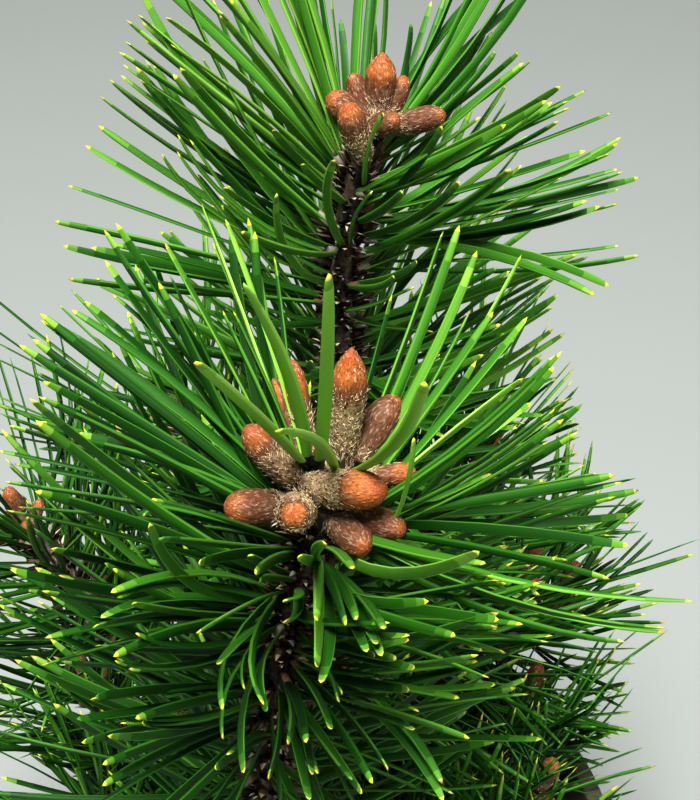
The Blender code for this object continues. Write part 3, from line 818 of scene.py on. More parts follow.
# Tones fall towards the shaded lower left, which paints shade there, and are highest on the near needles
# before the buds, which paints light on them.
FRONT_NEEDLES = (
    Lone((318, 466), (328, 268), (2, 0), green=5.2, broad=1.6),
    Lone((306, 462), (195, 363), (6, -8), green=5.2, broad=1.4),
    Lone((337, 470), (275, 433), (8, -18), green=5.2, broad=1.35),
    Lone((303, 455), (243, 271), (10, -6), green=4.9, broad=1.25),
    Sighted((318, 532), (225, 309), (6, -6), green=1.9),
    Sighted((318, 538), (197, 158), (6, -2), length=0.053, green=3.4),
    Sighted((318, 544), (161, 178), (6, 0), green=2.8),
    Sighted((318, 550), (83, 284), (6, -8), green=0.8),
    Sighted((318, 532), (103, 219), (4, 0), length=0.053, green=1.2),
    Sighted((318, 538), (89, 221), (2, 4), near=False, length=0.053, green=1),
    Sighted((318, 544), (11, 289), (6, -8), length=0.053, green=1.8),
    Sighted((318, 550), (8, 305), (2, 4), length=0.053, green=0.9),
    Sighted((318, 532), (50, 307), (8, -10), green=1.3),
    Sighted((318, 538), (-2, 333), (0, -4), length=0.053, green=0.5),
    Sighted((318, 544), (37, 387), (0, -6), green=1.1),
    Sighted((318, 550), (1, 397), (0, -6), green=0.7),
    Sighted((318, 532), (69, 434), (0, -12), green=1.5),
    Sighted((318, 538), (-10, 462), (0, -6), green=0.7),
    Sighted((318, 544), (4, 487), (0, -6), near=False, green=0.9),
    Sighted((318, 550), (136, 503), (0, -4), green=1.5),
    Lone((262, 592), (148, 523), (-22, 22), green=3.2),
    Lone((250, 590), (109, 596), (0, -20), green=2.8),
    Sighted((275, 540), (154, 521), (0, 4), green=1.3),
    Sighted((270, 580), (20, 500), (0, -4), length=0.053, green=0.9),
    Sighted((272, 600), (52, 560), (0, 4), green=0.9),
    Sighted((275, 610), (25, 580), (0, 6), green=0.5),
    Sighted((275, 618), (20, 599), (0, 4), near=False, green=0.3),
    Sighted((272, 630), (35, 655), (0, -18), green=1.3),
    Lone((272, 615), (132, 603), (-14, 10), green=2.2),
    Sighted((270, 625), (97, 642), (0, -14), green=0.9),
    Sighted((270, 630), (120, 646), (0, 12), green=0.9),
    Sighted((270, 660), (65, 656), (0, 4), near=False, green=0.5),
    Sighted((280, 590), (244, 709), (-20, -2), green=1.5),
    Sighted((275, 640), (232, 757), (-20, -6), green=1.7),
    Sighted((322, 556), (316, 650), (-4, 0), green=2.8),
    Lone((325, 560), (325, 676), (6, 0), green=2.8),
    Sighted((297, 589), (283, 620), (2, 0)),
    Sighted((281, 680), (280, 761), (4, 0), green=1.8),
    Sighted((281, 680), (309, 757), (6, -4), green=2),
    Sighted((284, 690), (314, 788), green=2),
    Sighted((265, 690), (116, 710), (0, -6), green=0.9),
    Sighted((262, 700), (141, 721), (-6, 14), green=1.1),
    Sighted((262, 710), (91, 757), (0, -6), green=0.7),
    Sighted((262, 715), (87, 803), (0, -6), length=0.053, green=1.1),
    Sighted((270, 735), (215, 767), (0, -10), green=0.9),
    Sighted((285, 553), (225, 569), (0, -4), green=1.1),
    Lone((270, 585), (196, 629), (8, -8), green=2.8),
    Lone((262, 600), (220, 661), (-12, 2), green=2.6),
    Sighted((331, 532), (452, 218), (10, 4), green=3.6),
    Sighted((331, 538), (510, 234), (8, 6), green=3.4),
    Sighted((331, 544), (519, 308), (6, 8), green=3.6),
    Sighted((331, 550), (532, 386), (0, -6), green=3.6),
    Sighted((331, 532), (562, 355), (10, 8)),
    Sighted((331, 538), (570, 376), (8, 8), green=2.8),
    Sighted((331, 544), (557, 429), (6, 8), green=2.6),
    Sighted((331, 550), (497, 481), (0, -2), green=1.8),
    Sighted((390, 535), (617, 473), (8, 4), green=1.8),
    Sighted((385, 540), (638, 503), (6, 2), near=False, green=2),
    Lone((341, 471), (426, 386), (12, 12), green=5.2, broad=1.3),
    Lone((378, 547), (415, 438), (5, 4), green=4.6, length=0.030, stray=0.007),
    Lone((352, 556), (478, 551), (-4, 24), green=4, broad=1.2),
    Lone((325, 566), (422, 602), (-14, 14), green=2.8),
    Sighted((400, 548), (624, 562), (0, -8), green=1.8),
    Sighted((395, 552), (491, 569), (0, 4), green=1.8),
    Sighted((405, 545), (688, 625), (-4, 22), length=0.056, green=3),
    Sighted((400, 555), (648, 640), (-4, 16), length=0.053, green=2.6),
    Sighted((345, 620), (504, 607), (0, 6), green=1.6),
    Sighted((350, 600), (477, 633), green=1.6),
    Sighted((312, 650), (402, 634), (0, 8)),
    Sighted((330, 640), (500, 667), (4, -12), green=2.2),
    Sighted((325, 690), (495, 671), (6, 8), green=2),
    Sighted((320, 640), (412, 666), green=1.8),
    Sighted((315, 670), (405, 685), green=2.2),
    Sighted((330, 690), (472, 722), (0, -6), green=2.6),
    Sighted((335, 570), (356, 638), (8, 0), green=1.8),
    Sighted((342, 572), (370, 639), (6, -4), green=1.8),
    Sighted((350, 575), (382, 638), (6, -4), green=2.2),
    Sighted((320, 630), (360, 676), (4, -2), green=1.8),
    Sighted((300, 660), (337, 713), (4, 0), green=2),
    Sighted((295, 670), (382, 782), (6, -6), green=2),
    Sighted((292, 690), (357, 787), (4, 0), green=2),
    Lone((318, 560), (327, 540), (2, 4), green=3.4),
    Lone((322, 568), (309, 560), (0, -3), green=3.4),
    Lone((325, 552), (354, 566), (0, -4), green=3),
)


LEADER = Shoot(
    "shoot_leader", 0, 0.005, 0.330, pairs=140, lean=14, green=2.3, sighted=LEADER_NEEDLES,
    buds=(
        Bud(20, 4, 0.015, 0.0054, wool=0.42, orange=0.34, dark=0.3, dome=KEELED, tip=(383, 52), behind=0.002),
        Bud(150, 22, 0.0098, 0.0040, wool=0.25, orange=0.10, dark=0.5, tip=(352, 73), behind=0.001),
        Bud(28, 28, 0.0098, 0.0038, wool=0.40, orange=0.16, tip=(406, 76), behind=0.001),
        Bud(188, 44, 0.0108, 0.0054, wool=0.22, orange=0.14, dark=0.5, tip=(328, 94)),
        Bud(228, 18, 0.0130, 0.0050, wool=0.50, orange=0.18, dark=0.3, tip=(347, 104), behind=-0.004),
        Bud(341, 66, 0.0120, 0.0046, wool=0.40, orange=0.12, dark=0.6, tip=(446, 114), behind=0.001),
        Bud(323, 54, 0.0082, 0.0042, wool=0.35, orange=0.10, dark=0.6, tip=(398, 118), behind=-0.001),
        Bud(88, 52, 0.0095, 0.0042, (0.0021, 0.0010, 0.0038), 0.40, 0.25),
    ),
)
FORWARD = Shoot(
    "shoot_front", 269.3, 0.079, 0.318, pairs=130, lean=16, lean_turn=-20, green=1.5, sighted=FRONT_NEEDLES,
    buds=(
        Bud(
            38, 5, 0.0205, 0.0052, wool=0.6, orange=0.32, dark=0.28, dome=KEELED, tip=(352, 347), behind=0.003
        ),
        Bud(176, 36, 0.0126, 0.0049, wool=0.66, orange=0.28, dark=0.6, tip=(245, 427)),
        Bud(208, 65, 0.0112, 0.0055, wool=0.30, orange=0.16, dark=0.6, tip=(225, 507), behind=0.001),
        Bud(264, 50, 0.0088, 0.0056, wool=0.84, orange=0.10, dark=0.15, tip=(293, 514), behind=-0.002),
        Bud(326, 65, 0.0148, 0.0057, wool=0.58, orange=0.42, dark=0.25, tip=(386, 491), behind=-0.002),
        Bud(34, 42, 0.0112, 0.0051, wool=0.22, orange=0.06, dark=0.6, tip=(398, 396), behind=0.003),
        Bud(20, 60, 0.0090, 0.0027, wool=0.25, orange=0.30, tip=(411, 428), behind=0.004),
        Bud(350, 70, 0.0085, 0.0033, wool=0.30, orange=0.40, tip=(416, 471), behind=0.002),
        Bud(320, 75, 0.0120, 0.0046, wool=0.25, orange=0.08, dark=0.6, tip=(405, 531), behind=0.001),
        Bud(298, 74, 0.0100, 0.0049, wool=0.28, orange=0.10, dark=0.6, tip=(366, 549)),
        Bud(112, 26, 0.0150, 0.0034, wool=0.50, orange=0.40, tip=(291, 359), behind=0.005),
        Bud(122, 38, 0.0140, 0.0021, wool=0.30, orange=0.30, tip=(273, 378), behind=0.005),
        Bud(85, 58, 0.0100, 0.0046, (0.0008, 0.0020, 0.0010), 0.40, 0.25),
    ),
)
BOUGHS = (
    Bough("bough_front", 262, 0.147, 0.060, 0.198, (FORWARD,), 259),
    Bough("bough_back_high", 88, 0.178, 0.028, 0.196, (
        Shoot("shoot_back_high", 86, 0.046, 0.250, green=1.9),
        Shoot("shoot_back_high_left", 128, 0.062, 0.224, green=1.8),
        Shoot("shoot_back_high_right", 54, 0.061, 0.216, pairs=54, green=1.8),
    )),
    Bough("bough_left_high", 166, 0.166, 0.045, 0.180, (
        Shoot("shoot_left_high", 165.8, 0.0735, 0.219),
    )),
    Bough("bough_right_high", 29, 0.154, 0.029, 0.163, (
        Shoot("shoot_right_high", 28.6, 0.050, 0.196, pairs=54),
    )),
    Bough("bough_left_low", 184, 0.137, 0.034, 0.140, (
        Shoot("shoot_left_low", 173, 0.060, 0.175),
        Shoot("shoot_left_low_front", 206, 0.063, 0.163),
    )),
    Bough("bough_right_low", 6, 0.131, 0.025, 0.134, (
        Shoot("shoot_right_low", 23, 0.051, 0.157, pairs=44),
        Shoot("shoot_right_low_front", 350, 0.048, 0.157, pairs=44),
    )),
    Bough("bough_front_left", 232, 0.130, 0.034, 0.137, (
        Shoot("shoot_front_left", 242, 0.057, 0.170),
    )),
    Bough("bough_front_right", 300, 0.134, 0.028, 0.138, (
        Shoot("shoot_front_low", 288, 0.046, 0.172),
        Shoot("shoot_front_right", 310, 0.060, 0.158),
    )),
    Bough("bough_back_right", 55, 0.135, 0.042, 0.141, (
        Shoot("shoot_back_right", 37, 0.072, 0.168, pairs=44),
        Shoot("shoot_back", 73, 0.077, 0.172),
    )),
    Bough("bough_back_left", 124, 0.138, 0.041, 0.142, (
        Shoot("shoot_back_left", 103, 0.078, 0.170),
        Shoot("shoot_back_far_left", 141, 0.073, 0.172),
    )),
)


def polar(turn: float, reach: float, height: float) -> Vector:
    """The point at a turn about the trunk, a reach out from it and a height."""
    angle = math.radians(turn)
    return Vector((reach * math.cos(angle), reach * math.sin(angle), height))


def leaning(turn: float, lean: float) -> Vector:
    """The way that leans from upright towards a turn, both in degrees."""
    angle = math.radians(lean)
    return polar(turn, math.sin(angle), math.cos(angle))


def curve(start: Vector, leave: Vector, arrive: Vector, end: Vector, steps: int) -> list[Vector]:
    """Points along a cubic Bezier from start to end, by its two inner handles."""
    points = []
    for i in range(steps + 1):
        t = i / steps
        s = 1 - t
        points.append(s**3 * start + 3 * s * s * t * leave + 3 * s * t * t * arrive + t**3 * end)
    return points


@dataclass
class Line:
    """A limb: its name, the points of its axis and its radius at each."""

    name: str
    points: list[Vector]
    radii: list[float]

    def at(self, share: float) -> tuple[Vector, Vector, float]:
        """The point, the way and the radius at a share of the limb."""
        steps = len(self.points) - 1
        i = min(int(share * steps), steps - 1)
        part = share * steps - i
        way = (self.points[i + 1] - self.points[i]).normalized()
        radius = self.radii[i] * (1 - part) + self.radii[i + 1] * part
        return self.points[i].lerp(self.points[i + 1], part), way, radius

    def travelled(self) -> list[float]:
        """How far along the limb each of its points lies."""
        steps = ((b - a).length for a, b in zip(self.points, self.points[1:]))
        return list(accumulate(steps, initial=0.0))


@dataclass(frozen=True)
class Skeleton:
    """The trunk, the boughs and the stems, by the frame's own rule."""

    gap: float = 0.0003
    soil_top: float = 0.115
    trunk_top: tuple[float, float, float] = (0.0015, 0.0, 0.212)
    trunk_radius: float = 0.0075
    trunk_tip_radius: float = 0.0036
    flare_radius: float = 0.0115
    flare_height: float = 0.014
    trunk_bow: float = 0.0035
    bough_root_radius: float = 0.0037
    bough_tip_radius: float = 0.0029
    bough_setting_out: float = 0.45
    stem_radius: float = 0.0024
    stem_end_radius: float = 0.0021
    stem_handle: float = 0.35
    stem_out: float = 0.75
    stem_along: float = 0.65
    fork_below_tip: float = 0.0035
    sprays: int = 4
    spray_heights: Span = (0.186, 0.207)
    spray_reach: float = 0.023
    spray_rise: float = 0.015
    spray_pairs: int = 26
    trunk_steps: int = 84
    bough_steps: int = 40
    stem_steps: int = 44

    def girth(self, z: float) -> float:
        """The trunk's radius at a height: a straight taper, and a flare at the soil."""
        rise = (z - self.soil_top) / (self.trunk_top[2] - self.soil_top)
        taper = self.trunk_radius + (self.trunk_tip_radius - self.trunk_radius) * rise
        flare = max(0.0, 1 - (z - self.soil_top) / self.flare_height)
        return taper + (self.flare_radius - self.trunk_radius) * flare * flare

    def trunk(self) -> Line:
        """The trunk, from the soil up to the leading shoot, with a slight bow."""
        top = Vector(self.trunk_top)
        start = Vector((0.0, 0.0, self.soil_top + self.gap))
        rise = (top.z - start.z) / 3
        handles = start + Z * rise, top - Vector((self.trunk_bow, 0.0, rise))
        points = curve(start, *handles, top, self.trunk_steps)
        return Line("trunk", points, [self.girth(p.z) for p in points])

    def on_trunk(self, z: float) -> tuple[Vector, float]:
        """The trunk's axis and radius at a height."""
        points = self.trunk().points
        low, high = next(pair for pair in zip(points, points[1:]) if pair[1].z >= z)
        return low.lerp(high, (z - low.z) / (high.z - low.z)), self.girth(z)

    def bough(self, bough: Bough) -> Line:
        """A bough: it leaves the trunk level and turns up towards its end."""
        way = polar(bough.turn, 1.0, 0.0)
        start = self.on_trunk(bough.leaves)[0]
        start += way * (self.on_trunk(bough.leaves - self.bough_root_radius)[1] + self.gap)
        end_turn = bough.turn if bough.end_turn is None else bough.end_turn
        end = polar(end_turn, bough.reach, bough.height)
        span = (end - start).length
        rise = (Z + (end - start).normalized()).normalized()
        leave = start + way * span * self.bough_setting_out
        arrive = end - rise * span * (1 - self.bough_setting_out)
        points = curve(start, leave, arrive, end, self.bough_steps)
        taper = self.bough_tip_radius - self.bough_root_radius
        radii = [self.bough_root_radius + taper * i / self.bough_steps for i in range(len(points))]
        return Line(bough.name, points, radii)

    def stem(self, shoot: Shoot, carrier: Vector, radius: float, way: Vector) -> Line:
        """A shoot's stem.

        Args:
            shoot: The shoot.
            carrier: The point on the axis of the limb that carries it.
            radius: That limb's radius, or 0 where the shoot grows on from the limb's end.
            way: The limb's way there.

        Returns:
            The stem, which starts inside the limb.
        """
        bud = polar(shoot.turn, shoot.reach, shoot.height)
        if radius == 0:
            start, leave = carrier, way
        else:
            out = (bud - carrier) - (bud - carrier).dot(way) * way
            out.normalize()
            start = carrier + out * radius
            leave = (self.stem_out * out + self.stem_along * way).normalized()
        span = (bud - start).length
        lean_turn = shoot.turn if shoot.lean_turn is None else shoot.lean_turn
        arrive = leaning(lean_turn, shoot.lean)
        handle = self.stem_handle * span
        points = curve(start, start + leave * handle, bud - arrive * handle, bud, self.stem_steps)
        taper = self.stem_end_radius - self.stem_radius
        radii = [self.stem_radius + taper * i / self.stem_steps for i in range(len(points))]
        return Line(shoot.name, points, radii)

    def trunk_sprays(self) -> list[tuple[Shoot, float]]:
        """The short shoots that grow straight out of the upper trunk, with the heights where they do."""
        low, high = self.spray_heights
        made = []
        for i in range(self.sprays):
            height = low + (high - low) * i / (self.sprays - 1)
            where = math.degrees(GOLDEN_ANGLE) * i, self.spray_reach, height + self.spray_rise
            made.append((Shoot(f"spray_trunk_{i + 1}", *where, self.spray_pairs, side_buds=0), height))
        return made

    def stems(self) -> dict[Shoot, Line]:
        """Every shoot with its stem."""
        trunk = self.trunk()
        made = {LEADER: self.stem(LEADER, trunk.points[-1], 0, trunk.at(1.0)[1])}
        for spray, height in self.trunk_sprays():
            made[spray] = self.stem(spray, *self.on_trunk(height), Z)
        for bough in BOUGHS:
            line = self.bough(bough)
            way = line.at(1.0)[1]
            made[bough.shoots[0]] = self.stem(bough.shoots[0], line.points[-1], 0, way)
            for shoot in bough.shoots[1:]:
                fork = line.points[-1] - way * self.fork_below_tip
                made[shoot] = self.stem(shoot, fork, self.bough_tip_radius, way)
        return made


# ---- pot and soil


def turned(profile: list[Span], sides: int) -> bmesh.types.BMesh:
    """A bmesh turned about Z from a profile that starts and ends on the axis."""
    bm = bmesh.new()
    verts = [bm.verts.new((r, 0.0, z)) for r, z in profile]
    edges = [bm.edges.new(pair) for pair in zip(verts, verts[1:])]
    whole = {"axis": Z, "cent": (0, 0, 0), "angle": math.tau, "use_merge": True}
    bmesh.ops.spin(bm, geom=verts + edges, steps=sides, **whole)
    bmesh.ops.remove_doubles(bm, verts=bm.verts, dist=1e-6)
    return bm


def finished(bm: bmesh.types.BMesh, name: str, slot: str, finish: bpy.types.Material) -> bpy.types.Object:
    """Makes a bmesh into a finished piece, with outward normals and smooth shading."""
    bmesh.ops.recalc_face_normals(bm, faces=bm.faces)
    mesh = bpy.data.meshes.new(name)
    bm.to_mesh(mesh)
    bm.free()
    mesh.materials.append(finish)
    mesh.shade_smooth()
    mesh.set_sharp_from_angle(angle=SHARP_EDGE)
    return place(mesh, name, slot)


@dataclass(frozen=True)
class Pot:
    """A tapered nursery pot with a rolled lip, a stacking step and drains in its floor."""

    height: float = 0.125
    rim_radius: float = 0.070
    foot_radius: float = 0.050
    wall: float = 0.0018
    floor: float = 0.0025
    lip_height: float = 0.010
    overhang: float = 0.0028
    lip_round: float = 0.0016
    foot_round: float = 0.0015
    sides: int = 120
    drains: int = 8
    drain_inner: float = 0.029
    drain_outer: float = 0.038
    drain_faces: int = 3
    groove_heights: tuple[float, ...] = (0.030, 0.1085)
    groove: float = 0.0005
    arc_steps: int = 4

    def radius(self, z: float) -> float:
        """The radius of the outer wall at a height, below the lip."""
        return self.foot_radius + (self.rim_radius - self.overhang - self.foot_radius) * z / self.height

    def arc(self, r: float, z: float, radius: float, first: float, last: float) -> list[Span]:
        """Profile points round an arc, from one angle to another in degrees."""
        steps = self.arc_steps
        angles = [math.radians(first + (last - first) * i / steps) for i in range(steps + 1)]
        return [(r + radius * math.cos(a), z + radius * math.sin(a)) for a in angles]

    def profile(self) -> list[Span]:
        """The section of the pot, from the middle of its underside round to the middle of its floor."""
        lip_foot = self.height - self.lip_height
        half = self.lip_round / 2
        wall_top = self.radius(self.height) - self.wall
        points = [(0.0, 0.0), (self.drain_inner, 0.0), (self.drain_outer, 0.0)]
        points += self.arc(self.foot_radius - self.foot_round, self.foot_round, self.foot_round, -90, 0)
        for z in self.groove_heights:
            r, above = self.radius(z), self.radius(z + 2 * self.groove)
            points += [(r, z - self.groove * 2), (r - self.groove, z), (above, z + self.groove * 2)]
        points.append((self.radius(lip_foot), lip_foot))
        points += self.arc(self.rim_radius - half, lip_foot + half, half, -90, 0)
        points += self.arc(self.rim_radius - half, self.height - half, half, 0, 90)
        points += self.arc(wall_top + half, self.height - half, half, 90, 180)
        points.append((self.radius(self.floor) - self.wall, self.floor))
        points += [(self.drain_outer, self.floor), (self.drain_inner, self.floor), (0.0, self.floor)]
        return points

    def pierce(self, bm: bmesh.types.BMesh, turn: float) -> None:
        """Opens one drain through the floor and walls the hole."""
        middle = (self.drain_inner + self.drain_outer) / 2
        side = 360 / self.sides
        faces = []
        for z in (0.0, self.floor):
            for i in range(self.drain_faces):
                spot = polar(turn + side * (i + 0.5), middle, z)
                faces.append(min(bm.faces, key=lambda f: (f.calc_center_median() - spot).length))
        inside = set(faces)
        rims = {e for f in faces for e in f.edges if sum(g in inside for g in e.link_faces) == 1}
        shared = [e for f in faces for e in f.edges if e not in rims]
        rims = list(rims)
        bmesh.ops.delete(bm, geom=faces, context="FACES_ONLY")
        bmesh.ops.delete(bm, geom=list(set(shared)), context="EDGES")
        bmesh.ops.bridge_loops(bm, edges=[e for e in rims if e.is_valid])

    def build(self) -> None:
        """Makes the pot in place of the frame's."""
        bm = turned(self.profile(), self.sides)
        for i in range(self.drains):
            self.pierce(bm, 360 * i / self.drains)
        piece = finished(bm, "pot_body", "pot_plastic", Plastic().material())
        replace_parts(piece, "pot")


@dataclass(frozen=True)
class Soil:
    """The pot's soil: a crumbly bed with bark, grit and fallen needles on it."""

    pot: Pot
    top: float = 0.115
    clearance: float = 0.0021
    flat_radius: float = 0.013
    sides: int = 120
    rings: int = 34
    lump: float = 0.0013
    lump_scale: float = 55
    crust_scale: float = 330
    calm_at_trunk: float = 0.006
    calm_at_wall: float = 0.004
    crumbs: int = 900
    crumb_halves: Span = (0.0005, 0.0017)
    grit: int = 120
    grit_halves: Span = (0.0004, 0.0012)
    litter: int = 150
    litter_lengths: Span = (0.022, 0.040)
    litter_half: float = 0.0006
    litter_lift: float = 0.0016

    def lift(self, x: float, y: float) -> float:
        """How far the soil stands above its level at a place: nothing at the trunk and at the wall."""
        out = math.hypot(x, y)
        from_trunk = max(0.0, (out - self.flat_radius) / self.calm_at_trunk)
        from_wall = max(0.0, (self.edge() - out) / self.calm_at_wall)
        broad = noise.fractal(Vector((x, y, 0.0)) * self.lump_scale, 1.0, 2.0, 3)
        fine = noise.fractal(Vector((x, y, 3.0)) * self.crust_scale, 0.8, 2.0, 3)
        return min(1.0, from_trunk, from_wall) * self.lump * (0.75 * broad + 0.45 * fine)

    def edge(self) -> float:
        """How far from the middle the soil's surface ends."""
        return self.pot.radius(self.top) - self.clearance

    def bed(self) -> None:
        """The bed of soil in place of the frame's."""
        foot = self.pot.floor + self.pot.foot_round / 5
        edge = self.edge()
        profile = [(0.0, foot), (self.pot.radius(foot) - self.clearance, foot)]
        profile += [(edge * i / self.rings, self.top) for i in range(self.rings, -1, -1)]
        bm = turned(profile, self.sides)
        for vert in bm.verts:
            if vert.co.z > self.top - MM:
                vert.co.z += self.lift(vert.co.x, vert.co.y)
        piece = finished(bm, "soil_bed", "potting_soil", Earth().material())
        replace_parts(piece, "soil")

    def spot(self, rng: random.Random, outer: float) -> Vector:
        """A place round the trunk, out to a distance from it."""
        out = math.sqrt(rng.uniform(self.flat_radius**2, outer**2))
        return polar(rng.uniform(0, 360), out, 0.0)

    def scatter(self, rng: random.Random, count: int, halves: Span, kinds: tuple) -> list[Item]:
        """Crumbs lying on the bed.

        Args:
            rng: The source of chance.
            count: How many there are.
            halves: The least and the greatest half width.
            kinds: The finishes to deal out.

        Returns:
            The crumbs.
        """
        items = []
        for _ in range(count):
            spot = self.spot(rng, self.edge() - 4 * MM)
            half = rng.uniform(*halves)
            way = leaning(rng.uniform(0, 360), rng.uniform(70, 88))
            length = half * rng.uniform(2.0, 3.2)
            spot.z = self.top + self.lift(spot.x, spot.y) + half / 4
            slot = WOODY_SLOT[rng.choice(kinds)]
            items.append(Item(spot - way * length / 2, way, Z, length, half, (slot,)))
        return items

    def fallen(self, rng: random.Random) -> list[Item]:
        """Old needles lying on the bed."""
        items = []
        outer = self.edge() - 6 * MM
        while len(items) < self.litter:
            middle = self.spot(rng, outer)
            way = leaning(rng.uniform(0, 360), rng.uniform(87, 90))
            length = rng.uniform(*self.litter_lengths)
            ends = [middle + way * length * s for s in (-0.5, 0.5)]
            if all(self.flat_radius < e.xy.length < outer for e in ends):
                root = ends[0] + Z * (self.top + self.litter_lift)
                bend = way.cross(Z) * rng.uniform(-0.08, 0.08)
                slot = WOODY_SLOT[rng.choice((Woody.TAN, Woody.BROWN, Woody.TAN, Woody.GREY))]
                items.append(Item(root, way, Z, length, self.litter_half, (slot,), bend))
        return items

    def build(self) -> None:
        """Makes the bed and what lies on it."""
        self.bed()
        rng = random.Random(SEED)
        batch = Batch("soil_crumbs", "potting_soil", woody_materials())
        peat = (Woody.DARK, Woody.DARK, Woody.BROWN)
        stone = (Woody.TAN, Woody.GREY, Woody.RESIN)
        batch.add(CRUMB, self.scatter(rng, self.crumbs, self.crumb_halves, peat))
        batch.add(CRUMB, self.scatter(rng, self.grit, self.grit_halves, stone))
        batch.add(LITTER, self.fallen(rng))
        batch.make()


# ---- wood


@dataclass(frozen=True)
class Wood:
    """The trunk, the boughs and the stems as one run of bark with its relief."""

    skeleton: Skeleton
    trunk_sides: int = 30
    bough_sides: int = 16
    stem_sides: int = 12
    trunk_relief: float = 0.00075
    bough_relief: float = 0.00050
    stem_relief: float = 0.00055
    collar: float = 1.35
    collar_length: float = 0.006
    ridge_scale: float = 420
    flake_scale: float = 900
    ridge_share: float = 0.55
    flake_share: float = 0.65

    def sweep(self, bm: bmesh.types.BMesh, line: Line, sides: int, relief: float) -> None:
        """Extrudes a disc along a limb and roughens its side.

        Args:
            bm: The bmesh to add to.
            line: The limb.
            sides: How many sides its bark has.
            relief: How far the bark stands in or out.
        """
        points, radii = line.points, line.radii
        ends = [points[0], *points, points[-1]]
        ways = [(after - before).normalized() for before, after in zip(ends, ends[2:])]
        stand = Matrix.Translation(points[0]) @ Z.rotation_difference(ways[0]).to_matrix().to_4x4()
        disc = bmesh.ops.create_circle(bm, cap_ends=True, segments=sides, radius=radii[0], matrix=stand)
        rim = disc["verts"]
        face = next(f for f in rim[0].link_faces if all(v in rim for v in f.verts))
        rings = [rim]
        for i in range(1, len(points)):
            grown = bmesh.ops.extrude_face_region(bm, geom=[face])["geom"]
            if i > 1:
                bmesh.ops.delete(bm, geom=[face], context="FACES_ONLY")
            rim = [g for g in grown if isinstance(g, bmesh.types.BMVert)]
            face = next(g for g in grown if isinstance(g, bmesh.types.BMFace))
            swing = ways[i - 1].rotation_difference(ways[i]).to_matrix().to_4x4()
            move = Matrix.Translation(points[i]) @ swing @ Matrix.Scale(radii[i] / radii[i - 1], 4)
            bmesh.ops.transform(bm, verts=rim, matrix=move @ Matrix.Translation(-points[i - 1]))
            rings.append(rim)
        self.roughen(rings, line, relief)

    def roughen(self, rings: list, line: Line, relief: float) -> None:
        """Moves each ring's points in and out by long ridges and short flakes."""
        for rim, centre, radius, far in zip(rings, line.points, line.radii, line.travelled()):
            drift = Vector((0.7, -0.5, 0.6)) * far
            for vert in rim:
                out = (vert.co - centre).normalized()
                side = out * radius
                ridges = 1 - 2 * abs(noise.noise(side * self.ridge_scale + drift * 130 + centre * 9))
                flakes = noise.fractal(side * self.flake_scale + drift * 700, 0.7, 2.0, 3)
                vert.co += out * relief * (self.ridge_share * ridges + self.flake_share * flakes)

    def rooted(self, line: Line, depth: float) -> Line:
        """A limb carried back into what bears it, with a collar where it comes out."""
        way = (line.points[1] - line.points[0]).normalized()
        radii = []
        for radius, far in zip(line.radii, line.travelled()):
            swell = max(0.0, 1 - far / self.collar_length)
            radii.append(radius * (1 + (self.collar - 1) * swell * swell))
        return Line(line.name, [line.points[0] - way * depth, *line.points], [radii[0], *radii])

    def build(self, stems: dict[Shoot, Line]) -> None:
        """Makes the wood in place of the frame's trunk and boughs."""
        bm = bmesh.new()
        self.sweep(bm, self.skeleton.trunk(), self.trunk_sides, self.trunk_relief)
        for bough in BOUGHS:
            line = self.rooted(self.skeleton.bough(bough), self.skeleton.bough_root_radius)
            self.sweep(bm, line, self.bough_sides, self.bough_relief)
        for line in stems.values():
            self.sweep(bm, self.rooted(line, MM), self.stem_sides, self.stem_relief)
        piece = finished(bm, "bark_wood", "bark", Bark().material())
        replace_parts(piece, "trunk", *(b.name for b in BOUGHS))


# ---- camera


@dataclass(frozen=True)
class View:
    """The camera: where it stands, where it looks, and the frame that it fills."""

    place: tuple[float, float, float] = (0.0025, -0.2543, 0.4846)
    tilt: float = 40.0
    focal_pixels: float = 1673.0
    width: int = 700
    height: int = 800
    sensor: float = 36.0

    def ray(self, x: float, y: float) -> Vector:
        """The way from the camera through a place in its frame."""
        pitch = math.radians(self.tilt)
        look = Vector((0.0, math.cos(pitch), -math.sin(pitch)))
        up = Vector((0.0, math.sin(pitch), math.cos(pitch)))
        across = Vector((1.0, 0.0, 0.0))
        right = (x - self.width / 2) / self.focal_pixels
        rise = (self.height / 2 - y) / self.focal_pixels
        return (look + across * right + up * rise).normalized()

    def depth(self, point: Vector) -> float:
        """How far a point lies in front of the camera."""
        return (point - Vector(self.place)).dot(self.ray(self.width / 2, self.height / 2))

    def plane(self, x: float, y: float) -> Vector:
        """A step across the frame, for things one unit in front of the camera."""
        pitch = math.radians(self.tilt)
        return Vector((x, -y * math.sin(pitch), -y * math.cos(pitch))) / self.focal_pixels

    def seen(self, points: np.ndarray) -> tuple[np.ndarray, np.ndarray, np.ndarray]:
        """Where points lie in the frame, and how far in front of the camera."""
        pitch = math.radians(self.tilt)
        rel = points - np.array(self.place)
        depth = rel[:, 1] * math.cos(pitch) - rel[:, 2] * math.sin(pitch)
        rise = rel[:, 1] * math.sin(pitch) + rel[:, 2] * math.cos(pitch)
        x = self.width / 2 + self.focal_pixels * rel[:, 0] / depth
        y = self.height / 2 - self.focal_pixels * rise / depth
        return x, y, depth

    def build(self) -> None:
        """Makes the camera."""
        data = bpy.data.cameras.new("camera")
        data.sensor_fit = "VERTICAL"
        data.sensor_height = self.sensor
        data.lens = self.focal_pixels / self.height * self.sensor
        camera = bpy.data.objects.new("camera", data)
        turn = Matrix.Rotation(math.radians(90 - self.tilt), 4, "X")
        camera.matrix_world = Matrix.Translation(self.place) @ turn
        bpy.context.scene.collection.objects.link(camera)
        bpy.context.scene.camera = camera


# ---- buds


